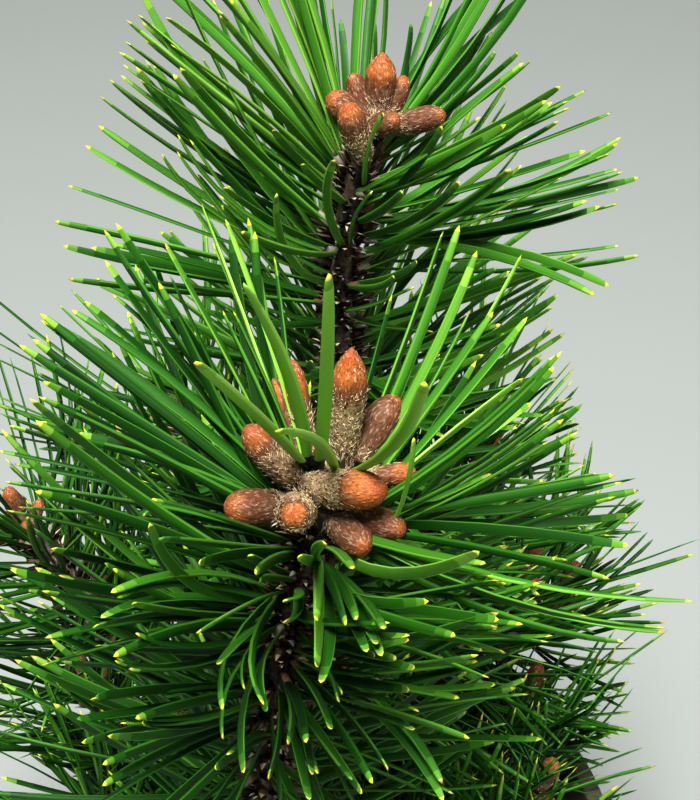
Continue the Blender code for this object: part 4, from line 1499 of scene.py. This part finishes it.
@dataclass(frozen=True)
class Coat:
    """A bud's hair: how many a square millimetre bears in the wool and above it, and half a hair's width."""

    woolly: float
    bare: float
    half: float


FULL_COAT = Coat(8.0, 2.6, 0.00008)
THIN_COAT = Coat(0.9, 0.5, 0.00012)


class Buds:
    """The winter buds: bodies with a streaked skin, and a mat of wool on their lower part."""

    RELIEF = 0.00011
    STREAK_STRETCH = 0.34
    YOUNG_LENGTHS = (0.0105, 0.0125)
    SPRAY_LENGTH = 0.007
    SIDE_LENGTHS = (0.0062, 0.0078)
    SIDE_LEAN = 48
    FRAYS = 0.22

    def __init__(self, stems: dict[Shoot, Line]) -> None:
        """Sets out every bud with its foot and way."""
        self.rng = random.Random(SEED + 1)
        self.set_out: list[tuple[Vector, Vector, Bud]] = []
        for shoot, line in stems.items():
            end = line.points[-1]
            up = (line.at(1.0)[1] + 0.8 * Z).normalized()
            for bud in shoot.buds or self.ring(shoot, up):
                way = leaning(bud.turn, bud.lean)
                foot = end + Vector(bud.foot) if bud.tip is None else self.foot_in_sight(end, way, bud)
                self.set_out.append((foot, way, bud))

    @staticmethod
    def foot_in_sight(end: Vector, way: Vector, bud: Bud) -> Vector:
        """The foot of a bud whose tip is set by where the camera sees it."""
        view = View()
        look = view.ray(view.width / 2, view.height / 2)
        ray = view.ray(*bud.tip)
        depth = view.depth(end) + bud.behind + way.dot(look) * bud.length
        return Vector(view.place) + ray * (depth / ray.dot(look)) - way * bud.length

    def ring(self, shoot: Shoot, up: Vector) -> list[Bud]:
        """The end bud of a side shoot and the ring of smaller buds below it."""
        rng = self.rng
        length = rng.uniform(*self.YOUNG_LENGTHS) if shoot.side_buds else self.SPRAY_LENGTH
        wool, orange = rng.uniform(0.3, 0.5), rng.uniform(0.2, 0.4)
        buds = [self.young(up, length, length * 0.42, up * 0.0006, wool, orange)]
        side = up.orthogonal().normalized()
        for i in range(shoot.side_buds):
            spin = math.tau * (i + rng.uniform(-0.12, 0.12)) / shoot.side_buds
            out = Matrix.Rotation(spin, 3, up) @ side
            angle = math.radians(self.SIDE_LEAN + rng.uniform(-9, 9))
            way = out * math.sin(angle) + up * math.cos(angle)
            foot = out * 0.0012 - up * (0.0012 + (i % 2) * 0.0016)
            size = rng.uniform(*self.SIDE_LENGTHS)
            wool, orange = rng.uniform(0.2, 0.5), rng.uniform(0.15, 0.35)
            buds.append(self.young(way, size, size * 0.46, foot, wool, orange))
        return buds

    @staticmethod
    def young(way: Vector, length: float, width: float, foot: Vector, wool: float, orange: float) -> Bud:
        """A small bud of a side shoot, which points a way."""
        turn, lean = math.degrees(math.atan2(way.y, way.x)), math.degrees(way.angle(Z))
        return Bud(turn, lean, length, width, tuple(foot), wool, orange, dome=YOUNG)

    def hair_colour(self, t: float, bud: Bud) -> Woody:
        """The finish of a hair at a share of a bud's length."""
        rng = self.rng
        if t > bud.wool + rng.uniform(-0.06, 0.10):
            tip = t > 1 - bud.orange
            warm = (Woody.AMBER, Woody.ORANGE) if tip else (Woody.RUST, Woody.RUSSET, Woody.COPPER)
            return rng.choice((*warm, Woody.TAN, Woody.PAPER))
        if rng.random() < 0.15 + 0.5 * bud.dark:
            return rng.choice((Woody.BROWN, Woody.DARK, Woody.TAN))
        return rng.choice((Woody.WOOL, Woody.TAN, Woody.PAPER, Woody.WOOL))

    @staticmethod
    def surface(foot: Vector, way: Vector, bud: Bud, t: float, spin: float) -> tuple[Vector, ...]:
        """A place on a bud's side, with the way out from its axis and the way up its side."""
        out = Matrix.Rotation(spin, 3, way) @ way.orthogonal().normalized()
        radius, step = bud.width / 2, 0.05
        girth = bud.dome.girth(t)
        slope = (bud.dome.girth(min(1.0, t + step)) - girth) * radius / (step * bud.length)
        spot = foot + way * bud.length * t + out * radius * girth * 0.97
        return spot, out, (way + out * slope).normalized()

    def hairs(self, foot: Vector, way: Vector, bud: Bud) -> list[Item]:
        """The fine hairs of one bud: a mat of wool on its lower part, and few and flat ones above."""
        rng = self.rng
        coat = THIN_COAT if bud.dome is YOUNG else FULL_COAT
        skin = math.pi * bud.width * bud.length / MM**2
        woolly = round(skin * bud.wool * coat.woolly)
        bare = round(skin * (1 - bud.wool) * coat.bare)
        made = []
        for i in range(woolly + bare):
            in_wool = i < woolly
            t = rng.uniform(-0.02, bud.wool + 0.06) if in_wool else rng.uniform(bud.wool, 0.94)
            spot, out, along = self.surface(foot, way, bud, t, rng.uniform(0, math.tau))
            across = way.cross(out) * rng.gauss(0, 0.9 if in_wool else 0.25)
            lift = rng.uniform(0.05, 0.45) if in_wool else rng.uniform(0.0, 0.16)
            hair_way = (along + across + out * lift).normalized()
            slots = (WOODY_SLOT[self.hair_colour(t, bud)],)
            length = rng.uniform(0.0006, 0.0013) if in_wool else rng.uniform(0.0005, 0.0009)
            made.append(Item(spot, hair_way, out, length, coat.half, slots))
        return made

    def frays(self, foot: Vector, way: Vector, bud: Bud) -> list[Item]:
        """The frayed scales among the wool of one bud."""
        rng = self.rng
        made = []
        for _ in range(round(math.pi * bud.width * bud.length * bud.wool / MM**2 * self.FRAYS)):
            t = rng.uniform(0.0, bud.wool)
            spot, out, along = self.surface(foot, way, bud, t, rng.uniform(0, math.tau))
            zones = ((Woody.BROWN, Woody.TAN), (Woody.WOOL, Woody.TAN), (Woody.WOOL, Woody.TAN))
            slots = tuple(WOODY_SLOT[rng.choice(kinds)] for kinds in zones)
            fray_way = (along + way.cross(out) * rng.gauss(0, 0.3) + out * rng.uniform(0.1, 0.6)).normalized()
            bend = out * rng.uniform(0.0, 0.4)
            size, half = rng.uniform(0.0010, 0.0018), rng.uniform(0.00014, 0.00026)
            made.append(Item(spot, fray_way, out, size, half, slots, bend))
        return made

    @staticmethod
    def ripeness(t: float, bud: Bud) -> float:
        """How ripe the skin is at a share of a bud: 0 at the foot, 0.5 where the wool ends, 1 at the tip."""
        if t < bud.wool:
            return 0.5 * max(0.0, t) / bud.wool
        warm = 1 - bud.orange
        if t < warm:
            return 0.5 + 0.28 * (t - bud.wool) / (warm - bud.wool)
        return 0.78 + 0.22 * (t - warm) / bud.orange

    def cores(self) -> None:
        """Makes the buds' bodies, with the streaks and the ripeness of their skin."""
        batch = Batch("bud_cores", "bark", [BudSkin().material()])
        ripe, dark, streaks = [], [], []
        for number, (foot, way, bud) in enumerate(self.set_out):
            form = CORES[bud.dome]
            face = way.orthogonal().normalized()
            batch.add(form, [Item(foot, way, face, bud.length, bud.width / 2, (0,))])
            radius = bud.width / 2 / MM
            rise = self.STREAK_STRETCH * bud.length / MM
            own = Vector((number * 7.0, number * 3.0, 0.0))
            places = [(x * girth, y * girth, t) for t, girth in form.stations for x, y in form.section]
            places += [(0.0, 0.0, form.foot), (0.0, 0.0, form.tip)]
            for x, y, t in places:
                streaks.append(own + Vector((x * radius, y * radius, t * rise)))
                ripe.append(self.ripeness(t, bud))
            dark += [bud.dark] * len(places)
        mesh = batch.make().data
        for vert, streak in zip(mesh.vertices, streaks):
            relief = noise.noise(streak * 1.1) + 0.7 * noise.noise(streak * 2.7)
            vert.co += vert.normal * relief * self.RELIEF
        for name, values in (("bud_ripe", ripe), ("bud_dark", dark)):
            mesh.attributes.new(name, "FLOAT", "POINT").data.foreach_set("value", values)
        flat = np.array(streaks, np.float32).ravel()
        mesh.attributes.new("bud_streak", "FLOAT_VECTOR", "POINT").data.foreach_set("vector", flat)

    def build(self) -> None:
        """Makes the buds' bodies and their hair."""
        self.cores()
        batch = Batch("bud_wool", "bark", woody_materials())
        for bud in self.set_out:
            batch.add(HAIR, self.hairs(*bud))
            batch.add(BLADE, self.frays(*bud))
        batch.make()


# ---- needles


CROWN_EDGES = (
    (0, 150, 510), (25, 125, 505), (50, 118, 530), (90, 110, 575), (130, 105, 638),
    (170, 150, 648), (200, 150, 640), (235, 120, 640), (260, 95, 642), (290, 40, 618),
    (320, 0, 560), (355, 0, 580), (400, 0, 590), (430, 0, 610), (470, 0, 625), (500, 0, 648),
    (550, 0, 672), (600, 0, 668), (640, 0, 650), (690, 0, 640), (745, 0, 652), (765, 45, 655),
    (800, 95, 618),
)
STEM_IN_SIGHT = (165, 345)


class Room:
    """What the needles keep clear of: wood, buds, the pot, the soil, and the bounds of the crown.

    The crown's edges are levels in the camera's frame, each with its left and right end there.
    """

    STEM_WIDTH = 13.0
    STEM_DEPTH = 0.003
    BUD_SHADE = 0.62
    APART = 0.0011
    ROUND_POT = 0.003
    OVER_POT = 0.0015
    LOWEST = 0.100

    def __init__(self, lines: list[Line], shoots: int, buds: Buds, pot: Pot) -> None:
        """Gathers the limbs' and the buds' stretches.

        Args:
            lines: The limbs, the shoots' stems first.
            shoots: How many of them are shoots' stems.
            buds: The winter buds.
            pot: The pot.
        """
        stretches = []
        for owner, line in enumerate(lines):
            points = line.points[::4]
            stretches += [(a, b, max(line.radii), owner) for a, b in zip(points, points[1:])]
        for foot, way, bud in buds.set_out:
            stretches.append((foot, foot + way * bud.length * 0.8, bud.width / 2, -1))
        starts, ends, radii, owners = zip(*stretches)
        self.start = np.array(starts)
        self.along = np.array(ends) - self.start
        self.square = (self.along**2).sum(1)
        self.radius = np.array(radii)
        self.owner = np.array(owners)
        self.shoots = shoots
        self.pot = pot
        self.view = View()
        self.low, self.high = (np.array(corner) for corner in CAD_BOX)
        self.sight_buds(buds)
        self.edges = np.array(CROWN_EDGES, float).T
        leader = np.array(self.view.seen(np.array(lines[0].points)))
        self.stem_sight = leader[:, np.argsort(leader[1])]

    def sight_buds(self, buds: Buds) -> None:
        """Notes where the camera sees the main buds: samples along each, with its half width there."""
        spots, widths = [], []
        for foot, way, bud in buds.set_out:
            if bud.dome is not YOUNG:
                for share in (0.25, 0.5, 0.75, 1.0):
                    spots.append(foot + way * bud.length * share)
                    widths.append(bud.width * self.BUD_SHADE)
        x, y, depth = self.view.seen(np.array(spots))
        self.bud_sight = np.stack([x, y, depth, np.array(widths) * self.view.focal_pixels / depth])

    def hides_buds(self, x: np.ndarray, y: np.ndarray, depth: np.ndarray) -> bool:
        """Whether a needle would pass before the main buds as the camera sees them."""
        bud_x, bud_y, bud_depth, bud_width = self.bud_sight
        over = np.hypot(x[:, None] - bud_x, y[:, None] - bud_y) < bud_width
        return bool((over & (depth[:, None] < bud_depth)).any())

    def hides_stem(self, x: np.ndarray, y: np.ndarray, depth: np.ndarray) -> bool:
        """Whether a needle would pass before the leader's bare stem as the camera sees it."""
        stem_x, stem_y, stem_depth = self.stem_sight
        over = (y > STEM_IN_SIGHT[0]) & (y < STEM_IN_SIGHT[1])
        if not over.any():
            return False
        over &= np.abs(x - np.interp(y, stem_y, stem_x)) < self.STEM_WIDTH
        return bool((over & (depth < np.interp(y, stem_y, stem_depth) - self.STEM_DEPTH)).any())

    def leaves_crown(self, x: np.ndarray, y: np.ndarray, slack: float) -> bool:
        """Whether a needle would show outside the crown's edges in the camera's frame."""
        level, left, right = self.edges
        framed = (x > 0) & (x < self.view.width) & (y > 0) & (y < self.view.height)
        out = (x < np.interp(y, level, left) - slack) | (x > np.interp(y, level, right) + slack)
        return bool((framed & out).any())

    def distances(self, points: np.ndarray) -> np.ndarray:
        """How far each point lies from each stretch."""
        away = points[:, None] - self.start[None]
        t = np.clip((away * self.along[None]).sum(2) / self.square[None], 0.0, 1.0)
        return np.linalg.norm(away - t[..., None] * self.along[None], axis=2)

    def clear(self, points: np.ndarray, owner: int, share: float, slack: float) -> bool:
        """Whether a needle may pass.

        Args:
            points: Places along the needle.
            owner: The limb that bears it, which it may touch.
            share: How much nearer another shoot may be than its own.
            slack: How far it may show past the crown's edges, in the frame.

        Returns:
            True if every place is free.
        """
        if (points < self.low).any() or (points > self.high).any():
            return False
        height = points[:, 2]
        over_pot = np.hypot(points[:, 0], points[:, 1]) < self.pot.rim_radius + self.ROUND_POT
        if (over_pot & (height < self.pot.height + self.OVER_POT)).any() or height.min() < self.LOWEST:
            return False
        x, y, depth = self.view.seen(points)
        if self.leaves_crown(x, y, slack) or self.hides_buds(x, y, depth) or self.hides_stem(x, y, depth):
            return False
        far = self.distances(points)
        others = self.owner != owner
        if (far[:, others] < self.radius[others] + self.APART).any():
            return False
        shoots = (self.owner >= 0) & (self.owner < self.shoots)
        own = far[:, self.owner == owner].min(1)
        nearest = far[:, shoots & others].min(1)
        return bool((nearest > own - share).all())


@dataclass(frozen=True)
class Arch:
    """How a needle runs: where it starts, its way, how it bends, how its end curls, and its length."""

    root: Vector
    way: Vector
    bend: Vector
    curl: Vector
    length: float

    def at(self, shares: np.ndarray) -> np.ndarray:
        """The places at shares of its length."""
        s = shares[:, None]
        arc = np.array(self.way) * s + np.array(self.bend) * s**2 + np.array(self.curl) * s**3
        return np.array(self.root) + self.length * arc


@dataclass(frozen=True)
class Habit:
    """How needles stand on a stem, from its foot to its tip."""

    low_angle: float = 86.0
    top_angle: float = 34.0
    steepening: float = 1.8
    scatter: float = 7.0
    first: float = 0.06
    last: float = 0.985
    length: float = 0.050
    half: float = 0.00078
    spread: float = 5.0
    rise: float = 0.07
    share: float = 0.016
    sway: float = 0.08
    ripe: float = 0.45
    drooping: float = 0.14
    slack: Span = (-34, 8)
    more_scales: int = 0


class Needles:
    """Needles in twos with their sheaths and scales, grown stem by stem."""

    CHECKED = np.array((0.14, 0.28, 0.42, 0.56, 0.70, 0.85, 1.0))
    SHORTER = (1.0, 0.88, 0.74)
    LIFTS = (0, 9, 18, 30)
    TONE_SPREAD = 0.55
    SHEATH_LENGTHS = (0.0040, 0.0068)
    SCALE_LENGTHS = (0.0032, 0.0062)
    SCALE_HALVES = (0.0007, 0.0012)
    SIGHTED_RIPE = 0.95
    SIGHTED_CURL = 0.022
    LOOKED_AT = 60
    ROOT_PLAY = 0.0018
    END_PLAY = 0.0062
    INSIDE = 0.0006

    def __init__(self, room: Room) -> None:
        """Starts with no needles."""
        self.room = room
        self.paint = NeedlePaint()
        self.woody = woody_materials()
        self.sheaths: list[Item] = []
        self.scales: list[Item] = []

    def fitting(self, wanted: Arch, up: Vector, angle: float, *limits: float) -> Arch | None:
        """The lowest and longest way in which a needle fits.

        Args:
            wanted: The needle at full length, straight out from the stem.
            up: The stem's way there.
            angle: The angle from the stem that it would like.
            limits: The room's limits: its limb, its share and its slack.

        Returns:
            The needle as it fits, or None.
        """
        for part in self.SHORTER:
            for lift in self.LIFTS:
                lifted = angle - math.radians(lift)
                way = wanted.way * math.sin(lifted) + up * math.cos(lifted)
                arch = replace(wanted, way=way, length=wanted.length * part)
                if self.room.clear(arch.at(self.CHECKED), *limits):
                    return arch
        return None

    def pair(
        self, rng: random.Random, arch: Arch, half: float, spread: float, tone: float, ripe: float
    ) -> list[Item]:
        """Two needles side by side, their flat sides facing, and their sheath.

        Args:
            rng: The source of chance.
            arch: How the pair runs.
            half: Half a needle's width.
            spread: The angle between the two, in degrees.
            tone: The pair's green.
            ripe: How likely its tips are to be yellow.

        Returns:
            The two needles.
        """
        stretch = arch.way.length
        way = arch.way / stretch
        apart = Matrix.Rotation(rng.uniform(0, math.tau), 3, way) @ way.orthogonal().normalized()
        angle = math.radians(spread) / 2
        tone_at = min(len(GREENS) - 1, max(0, round(tone + rng.gauss(0, self.TONE_SPREAD))))
        needles = []
        for sign in (-1, 1):
            this_way = (way * math.cos(angle) + apart * sign * math.sin(angle)) * stretch
            start = arch.root + apart * sign * half * 0.35
            bend = arch.bend + apart * sign * rng.uniform(-0.03, 0.01)
            slots = self.paint.slots(tone_at, rng, ripe)
            length = arch.length * (1.0 if sign < 0 else rng.uniform(0.93, 1.0))
            twist = rng.uniform(-1.1, 1.1)
            needles.append(Item(start, this_way, -sign * apart, length, half, slots, bend, twist, arch.curl))
        zones = ((Woody.BROWN, Woody.TAN), (Woody.TAN, Woody.GREY, Woody.BROWN))
        slots = tuple(WOODY_SLOT[rng.choice(kinds)] for kinds in zones)
        cover = rng.uniform(*self.SHEATH_LENGTHS)
        self.sheaths.append(Item(arch.root, way, apart, cover, half * 1.12, slots, arch.bend * 0.1))
        return needles

    def scale(self, root: Vector, out: Vector, up: Vector, rng: random.Random, size: float = 1.0) -> None:
        """The papery scale under a pair of needles."""
        way = (up * rng.uniform(0.5, 1.0) + out * rng.uniform(0.25, 0.9)).normalized()
        zones = ((Woody.BROWN, Woody.DARK, Woody.TAN), (Woody.TAN, Woody.PAPER, Woody.GREY, Woody.PAPER))
        slots = (WOODY_SLOT[Woody.DARK], *(WOODY_SLOT[rng.choice(kinds)] for kinds in zones))
        bend = out * rng.uniform(-0.1, 0.6) + up * rng.uniform(-0.3, 0.1)
        length = rng.uniform(*self.SCALE_LENGTHS) * size
        half = rng.uniform(*self.SCALE_HALVES) * size
        foot = root - up * 0.0012 - out * 0.0004
        self.scales.append(Item(foot, way, out, length, half, slots, bend, rng.uniform(-0.8, 0.8)))

    def root_in_sight(self, line: Line, x: float, y: float, stray: float) -> Vector:
        """The place on a stem, or close to its end, that the camera sees at a place in its frame."""
        view = self.room.view
        points = [line.at(i / self.LOOKED_AT)[0] for i in range(self.LOOKED_AT + 1)]
        px, py, _ = view.seen(np.array(points))
        nearest = int(np.argmin((px - x) ** 2 + (py - y) ** 2))
        point = points[nearest]
        ray = view.ray(x, y)
        middle = view.ray(view.width / 2, view.height / 2)
        there = Vector(view.place) + ray * (view.depth(point) / ray.dot(middle))
        off = there - point
        most = stray + (self.END_PLAY if nearest == self.LOOKED_AT else self.ROOT_PLAY)
        return point + off * min(1.0, most / max(off.length, 1e-6))

    def by_sight(self, line: Line, sighted: tuple[Sighted, ...], half: float) -> list[Item]:
        """Needles placed by sight.

        Args:
            line: The stem.
            sighted: Where they are seen.
            half: Half a needle's width.

        Returns:
            The needles.
        """
        view = self.room.view
        camera = Vector(view.place)
        rng = random.Random(f"{SEED}{line.name}sighted")
        made = []
        for needle in sighted:
            root = self.root_in_sight(line, *needle.root, needle.stray)
            ray = view.ray(*needle.tip)
            along = (root - camera).dot(ray)
            off = (camera + ray * along - root).length
            whole = needle.length * rng.uniform(0.96, 1.03)
            reach = math.sqrt(max(0.0, whole * whole - off * off))
            leans = (-1.0, -0.6, -0.2, 0.2, 0.6) if needle.near else (1.0, 0.5)
            curl = view.plane(rng.gauss(0, 1), rng.gauss(0, 1)) * view.focal_pixels * self.SIGHTED_CURL
            for lean in leans:
                tip = camera + ray * (along + reach * lean)
                tip = root + (tip - root) * min(1.0, whole / (tip - root).length)
                low, high = self.room.low + self.INSIDE, self.room.high - self.INSIDE
                tip = Vector(np.clip(np.array(tip), low, high))
                length = (tip - root).length
                depth = (view.depth(root) + view.depth(tip)) / 2
                bend = view.plane(*needle.bulge) * depth * (-4 / length)
                arch = Arch(root, (tip - root) / length - bend - curl, bend, curl, length)
                if not (needle.twin and self.room.hides_buds(*view.seen(arch.at(self.CHECKED)))):
                    break
            spread = rng.uniform(3, 8) if needle.twin else 1.0
            pair = self.pair(rng, arch, half * needle.broad, spread, needle.green, self.SIGHTED_RIPE)
            made += pair if needle.twin else pair[:1]
            if not needle.twin:
                self.sheaths.pop()
            self.scale(root, arch.way.normalized(), Z, rng)
        return made

    def clothe(self, line: Line, owner: int, pairs: int, habit: Habit, green: float) -> list[Item]:
        """Needles all round a stem.

        Args:
            line: The stem.
            owner: Its place among the limbs.
            pairs: How many pairs it would bear.
            habit: How they stand.
            green: The stem's mean green.

        Returns:
            The needles.
        """
        rng, chips = random.Random(f"{SEED}{line.name}"), random.Random(f"{SEED}{line.name}scales")
        side = (line.points[1] - line.points[0]).orthogonal()
        made = []
        for i in range(pairs):
            t = habit.first + (habit.last - habit.first) * (i + 0.5) / pairs
            centre, up, radius = line.at(t)
            spin = Matrix.Rotation(GOLDEN_ANGLE * i + rng.uniform(-0.25, 0.25), 3, up)
            out = spin @ (side - side.dot(up) * up).normalized()
            angle = habit.low_angle + (habit.top_angle - habit.low_angle) * t**habit.steepening
            angle = math.radians(angle + rng.gauss(0, habit.scatter))
            length = habit.length * rng.uniform(0.86, 1.08) * (1 - 0.12 * (1 - t))
            across = up.cross(out)
            bend = up * (habit.rise + rng.uniform(-0.10, 0.16)) + Z * 0.03 + across * rng.gauss(0, habit.sway)
            if rng.random() < habit.drooping:
                bend = bend - up * rng.uniform(0.1, 0.3)
            curl = (up * rng.gauss(0, 1) + across * rng.gauss(0, 1)) * 0.45 * habit.sway
            slack = rng.uniform(*habit.slack)
            self.scale(centre + out * radius, out, up, rng)
            turned_out = Matrix.Rotation(rng.uniform(0, math.tau), 3, up) @ out
            self.scale(centre + turned_out * radius, turned_out, up, rng, rng.uniform(0.6, 1.1))
            for _ in range(habit.more_scales):
                turned_out = Matrix.Rotation(chips.uniform(0, math.tau), 3, up) @ out
                foot = centre + turned_out * radius + up * chips.uniform(-MM, MM)
                self.scale(foot, turned_out, up, chips, chips.uniform(0.5, 1.0))
            wanted = Arch(centre + out * radius * 0.8, out, bend, curl, length)
            arch = self.fitting(wanted, up, angle, owner, habit.share, slack)
            if arch is None:
                continue
            half = habit.half * rng.uniform(0.86, 1.12)
            # The tone darkens towards the stem's foot: painted shade low in the crown.
            tone = green + 0.9 * (t - 0.5) + rng.gauss(0, 0.25)
            spread = habit.spread + rng.uniform(-2.5, 7)
            made += self.pair(rng, arch, half, spread, tone, habit.ripe)
        return made


@dataclass(frozen=True)
class Studio:
    """A plain pale floor and soft light."""

    floor_size: float = 8.0
    floor_colour: Colour = (0.368, 0.389, 0.368)
    sky: float = 0.07
    sky_colour: Colour = (0.95, 0.98, 1.0)
    key: float = 74.0
    key_size: float = 0.60
    key_place: tuple = (-0.14, -0.50, 1.80)
    fill: float = 5.0
    fill_size: float = 0.9
    fill_place: tuple = (0.9, -0.8, 0.9)
    aim: tuple = (0.0, -0.02, 0.22)
    gamma: float = 0.86

    def light(self, name: str, stand: tuple, size: float, power: float) -> None:
        """A soft square light aimed at the plant's crown."""
        data = bpy.data.lights.new(name, "AREA")
        data.size = size
        data.energy = power
        lamp = bpy.data.objects.new(name, data)
        look = Vector(self.aim) - Vector(stand)
        lamp.matrix_world = Matrix.Translation(stand) @ look.to_track_quat("-Z", "Y").to_matrix().to_4x4()
        bpy.context.scene.collection.objects.link(lamp)

    def build(self) -> None:
        """Makes the floor, the sky light and the lamps."""
        bm = bmesh.new()
        bmesh.ops.create_grid(bm, x_segments=1, y_segments=1, size=self.floor_size / 2)
        mesh = bpy.data.meshes.new("floor")
        bm.to_mesh(mesh)
        bm.free()
        graph = Graph("floor")
        tone = graph.noise(graph.coordinates(), 3.0, 2.0)
        darker = tuple(c * 0.96 for c in self.floor_colour)
        colour = graph.mix(tone, darker, self.floor_colour)
        mesh.materials.append(graph.surface(Base_Color=colour, Roughness=0.8))
        floor = bpy.data.objects.new("floor", mesh)
        bpy.context.scene.collection.objects.link(floor)
        world = bpy.data.worlds.new("studio")
        world.use_nodes = True
        glow = world.node_tree.nodes["Background"].inputs
        glow["Color"].default_value = (*self.sky_colour, 1.0)
        glow["Strength"].default_value = self.sky
        bpy.context.scene.world = world
        bpy.context.scene.view_settings.view_transform = "Standard"
        bpy.context.scene.view_settings.gamma = self.gamma
        self.light("key", self.key_place, self.key_size, self.key)
        self.light("fill", self.fill_place, self.fill_size, self.fill)


class Crown:
    """The foliage: every shoot's needles, and those on the older wood below the shoots.

    Each side of the crown is a piece of its own, made of the shoots whose names begin with its words.
    """

    SIDES = {"leader": ("shoot_leader", "spray_")}
    SIDES |= {side: (f"shoot_{side}",) for side in ("front", "back", "left", "right")}
    OLD_WOOD = Habit(
        low_angle=80, top_angle=66, first=0.32, last=0.97, length=0.045, half=0.00064, share=0.03, ripe=0.1
    )
    OLD_SPACING = 0.0016
    # The old wood's needles take the darkest tones: painted shade for the needles low and inside the crown.
    OLD_WOOD_SHADE_GREEN = 0.8
    SIDE = Habit(half=0.00066, length=0.0495, sway=0.10)
    MAIN = Habit(half=0.00080, length=0.049, share=0.030, sway=0.10, ripe=0.85, more_scales=4)

    def __init__(self, skeleton: Skeleton, stems: dict[Shoot, Line], pot: Pot, buds: Buds) -> None:
        """Sets out the limbs."""
        self.stems = stems
        self.boughs = [skeleton.bough(b) for b in BOUGHS]
        lines = [*stems.values(), *self.boughs, skeleton.trunk()]
        self.needles = Needles(Room(lines, len(stems), buds, pot))

    def build(self) -> None:
        """Makes the needles, their sheaths and their scales."""
        grown = {}
        for owner, (shoot, line) in enumerate(self.stems.items()):
            main = shoot in (LEADER, FORWARD)
            habit = self.MAIN if main else self.SIDE
            form = FINE_NEEDLE if main else NEEDLE
            items = self.needles.clothe(line, owner, shoot.pairs, habit, shoot.green)
            items += self.needles.by_sight(line, shoot.sighted, habit.half)
            grown[shoot.name] = (form, items)
            log.info("%s: %d needles", shoot.name, len(items))
        for side, prefixes in self.SIDES.items():
            batch = Batch(f"needles_{side}", "needles", self.needles.paint.materials)
            names = [name for name in grown if name.startswith(prefixes)]
            for name in names:
                batch.add(*grown[name])
            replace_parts(batch.make(), *names)
        old = Batch("needles_old_wood", "needles", self.needles.paint.materials)
        for owner, line in enumerate(self.boughs, len(self.stems)):
            pairs = round(line.travelled()[-1] / self.OLD_SPACING)
            old.add(NEEDLE, self.needles.clothe(line, owner, pairs, self.OLD_WOOD, self.OLD_WOOD_SHADE_GREEN))
        old.make()
        for name, form, items in (
            ("needle_sheaths", SHEATH, self.needles.sheaths),
            ("stem_scales", BLADE, self.needles.scales),
        ):
            batch = Batch(name, "bark", self.needles.woody)
            batch.add(form, items)
            batch.make()


def write_sizes() -> None:
    """Brings the view layer up to date."""
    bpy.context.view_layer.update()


def main() -> None:
    """Builds the plant, its pot and the studio."""
    logging.basicConfig(level=logging.INFO, format="%(message)s")
    skeleton = Skeleton()
    stems = skeleton.stems()
    pot = Pot()
    View().build()
    Studio().build()
    pot.build()
    Soil(pot).build()
    Wood(skeleton).build(stems)
    buds = Buds(stems)
    buds.build()
    Crown(skeleton, stems, pot, buds).build()
    write_sizes()


if __name__ == "__main__":
    main()
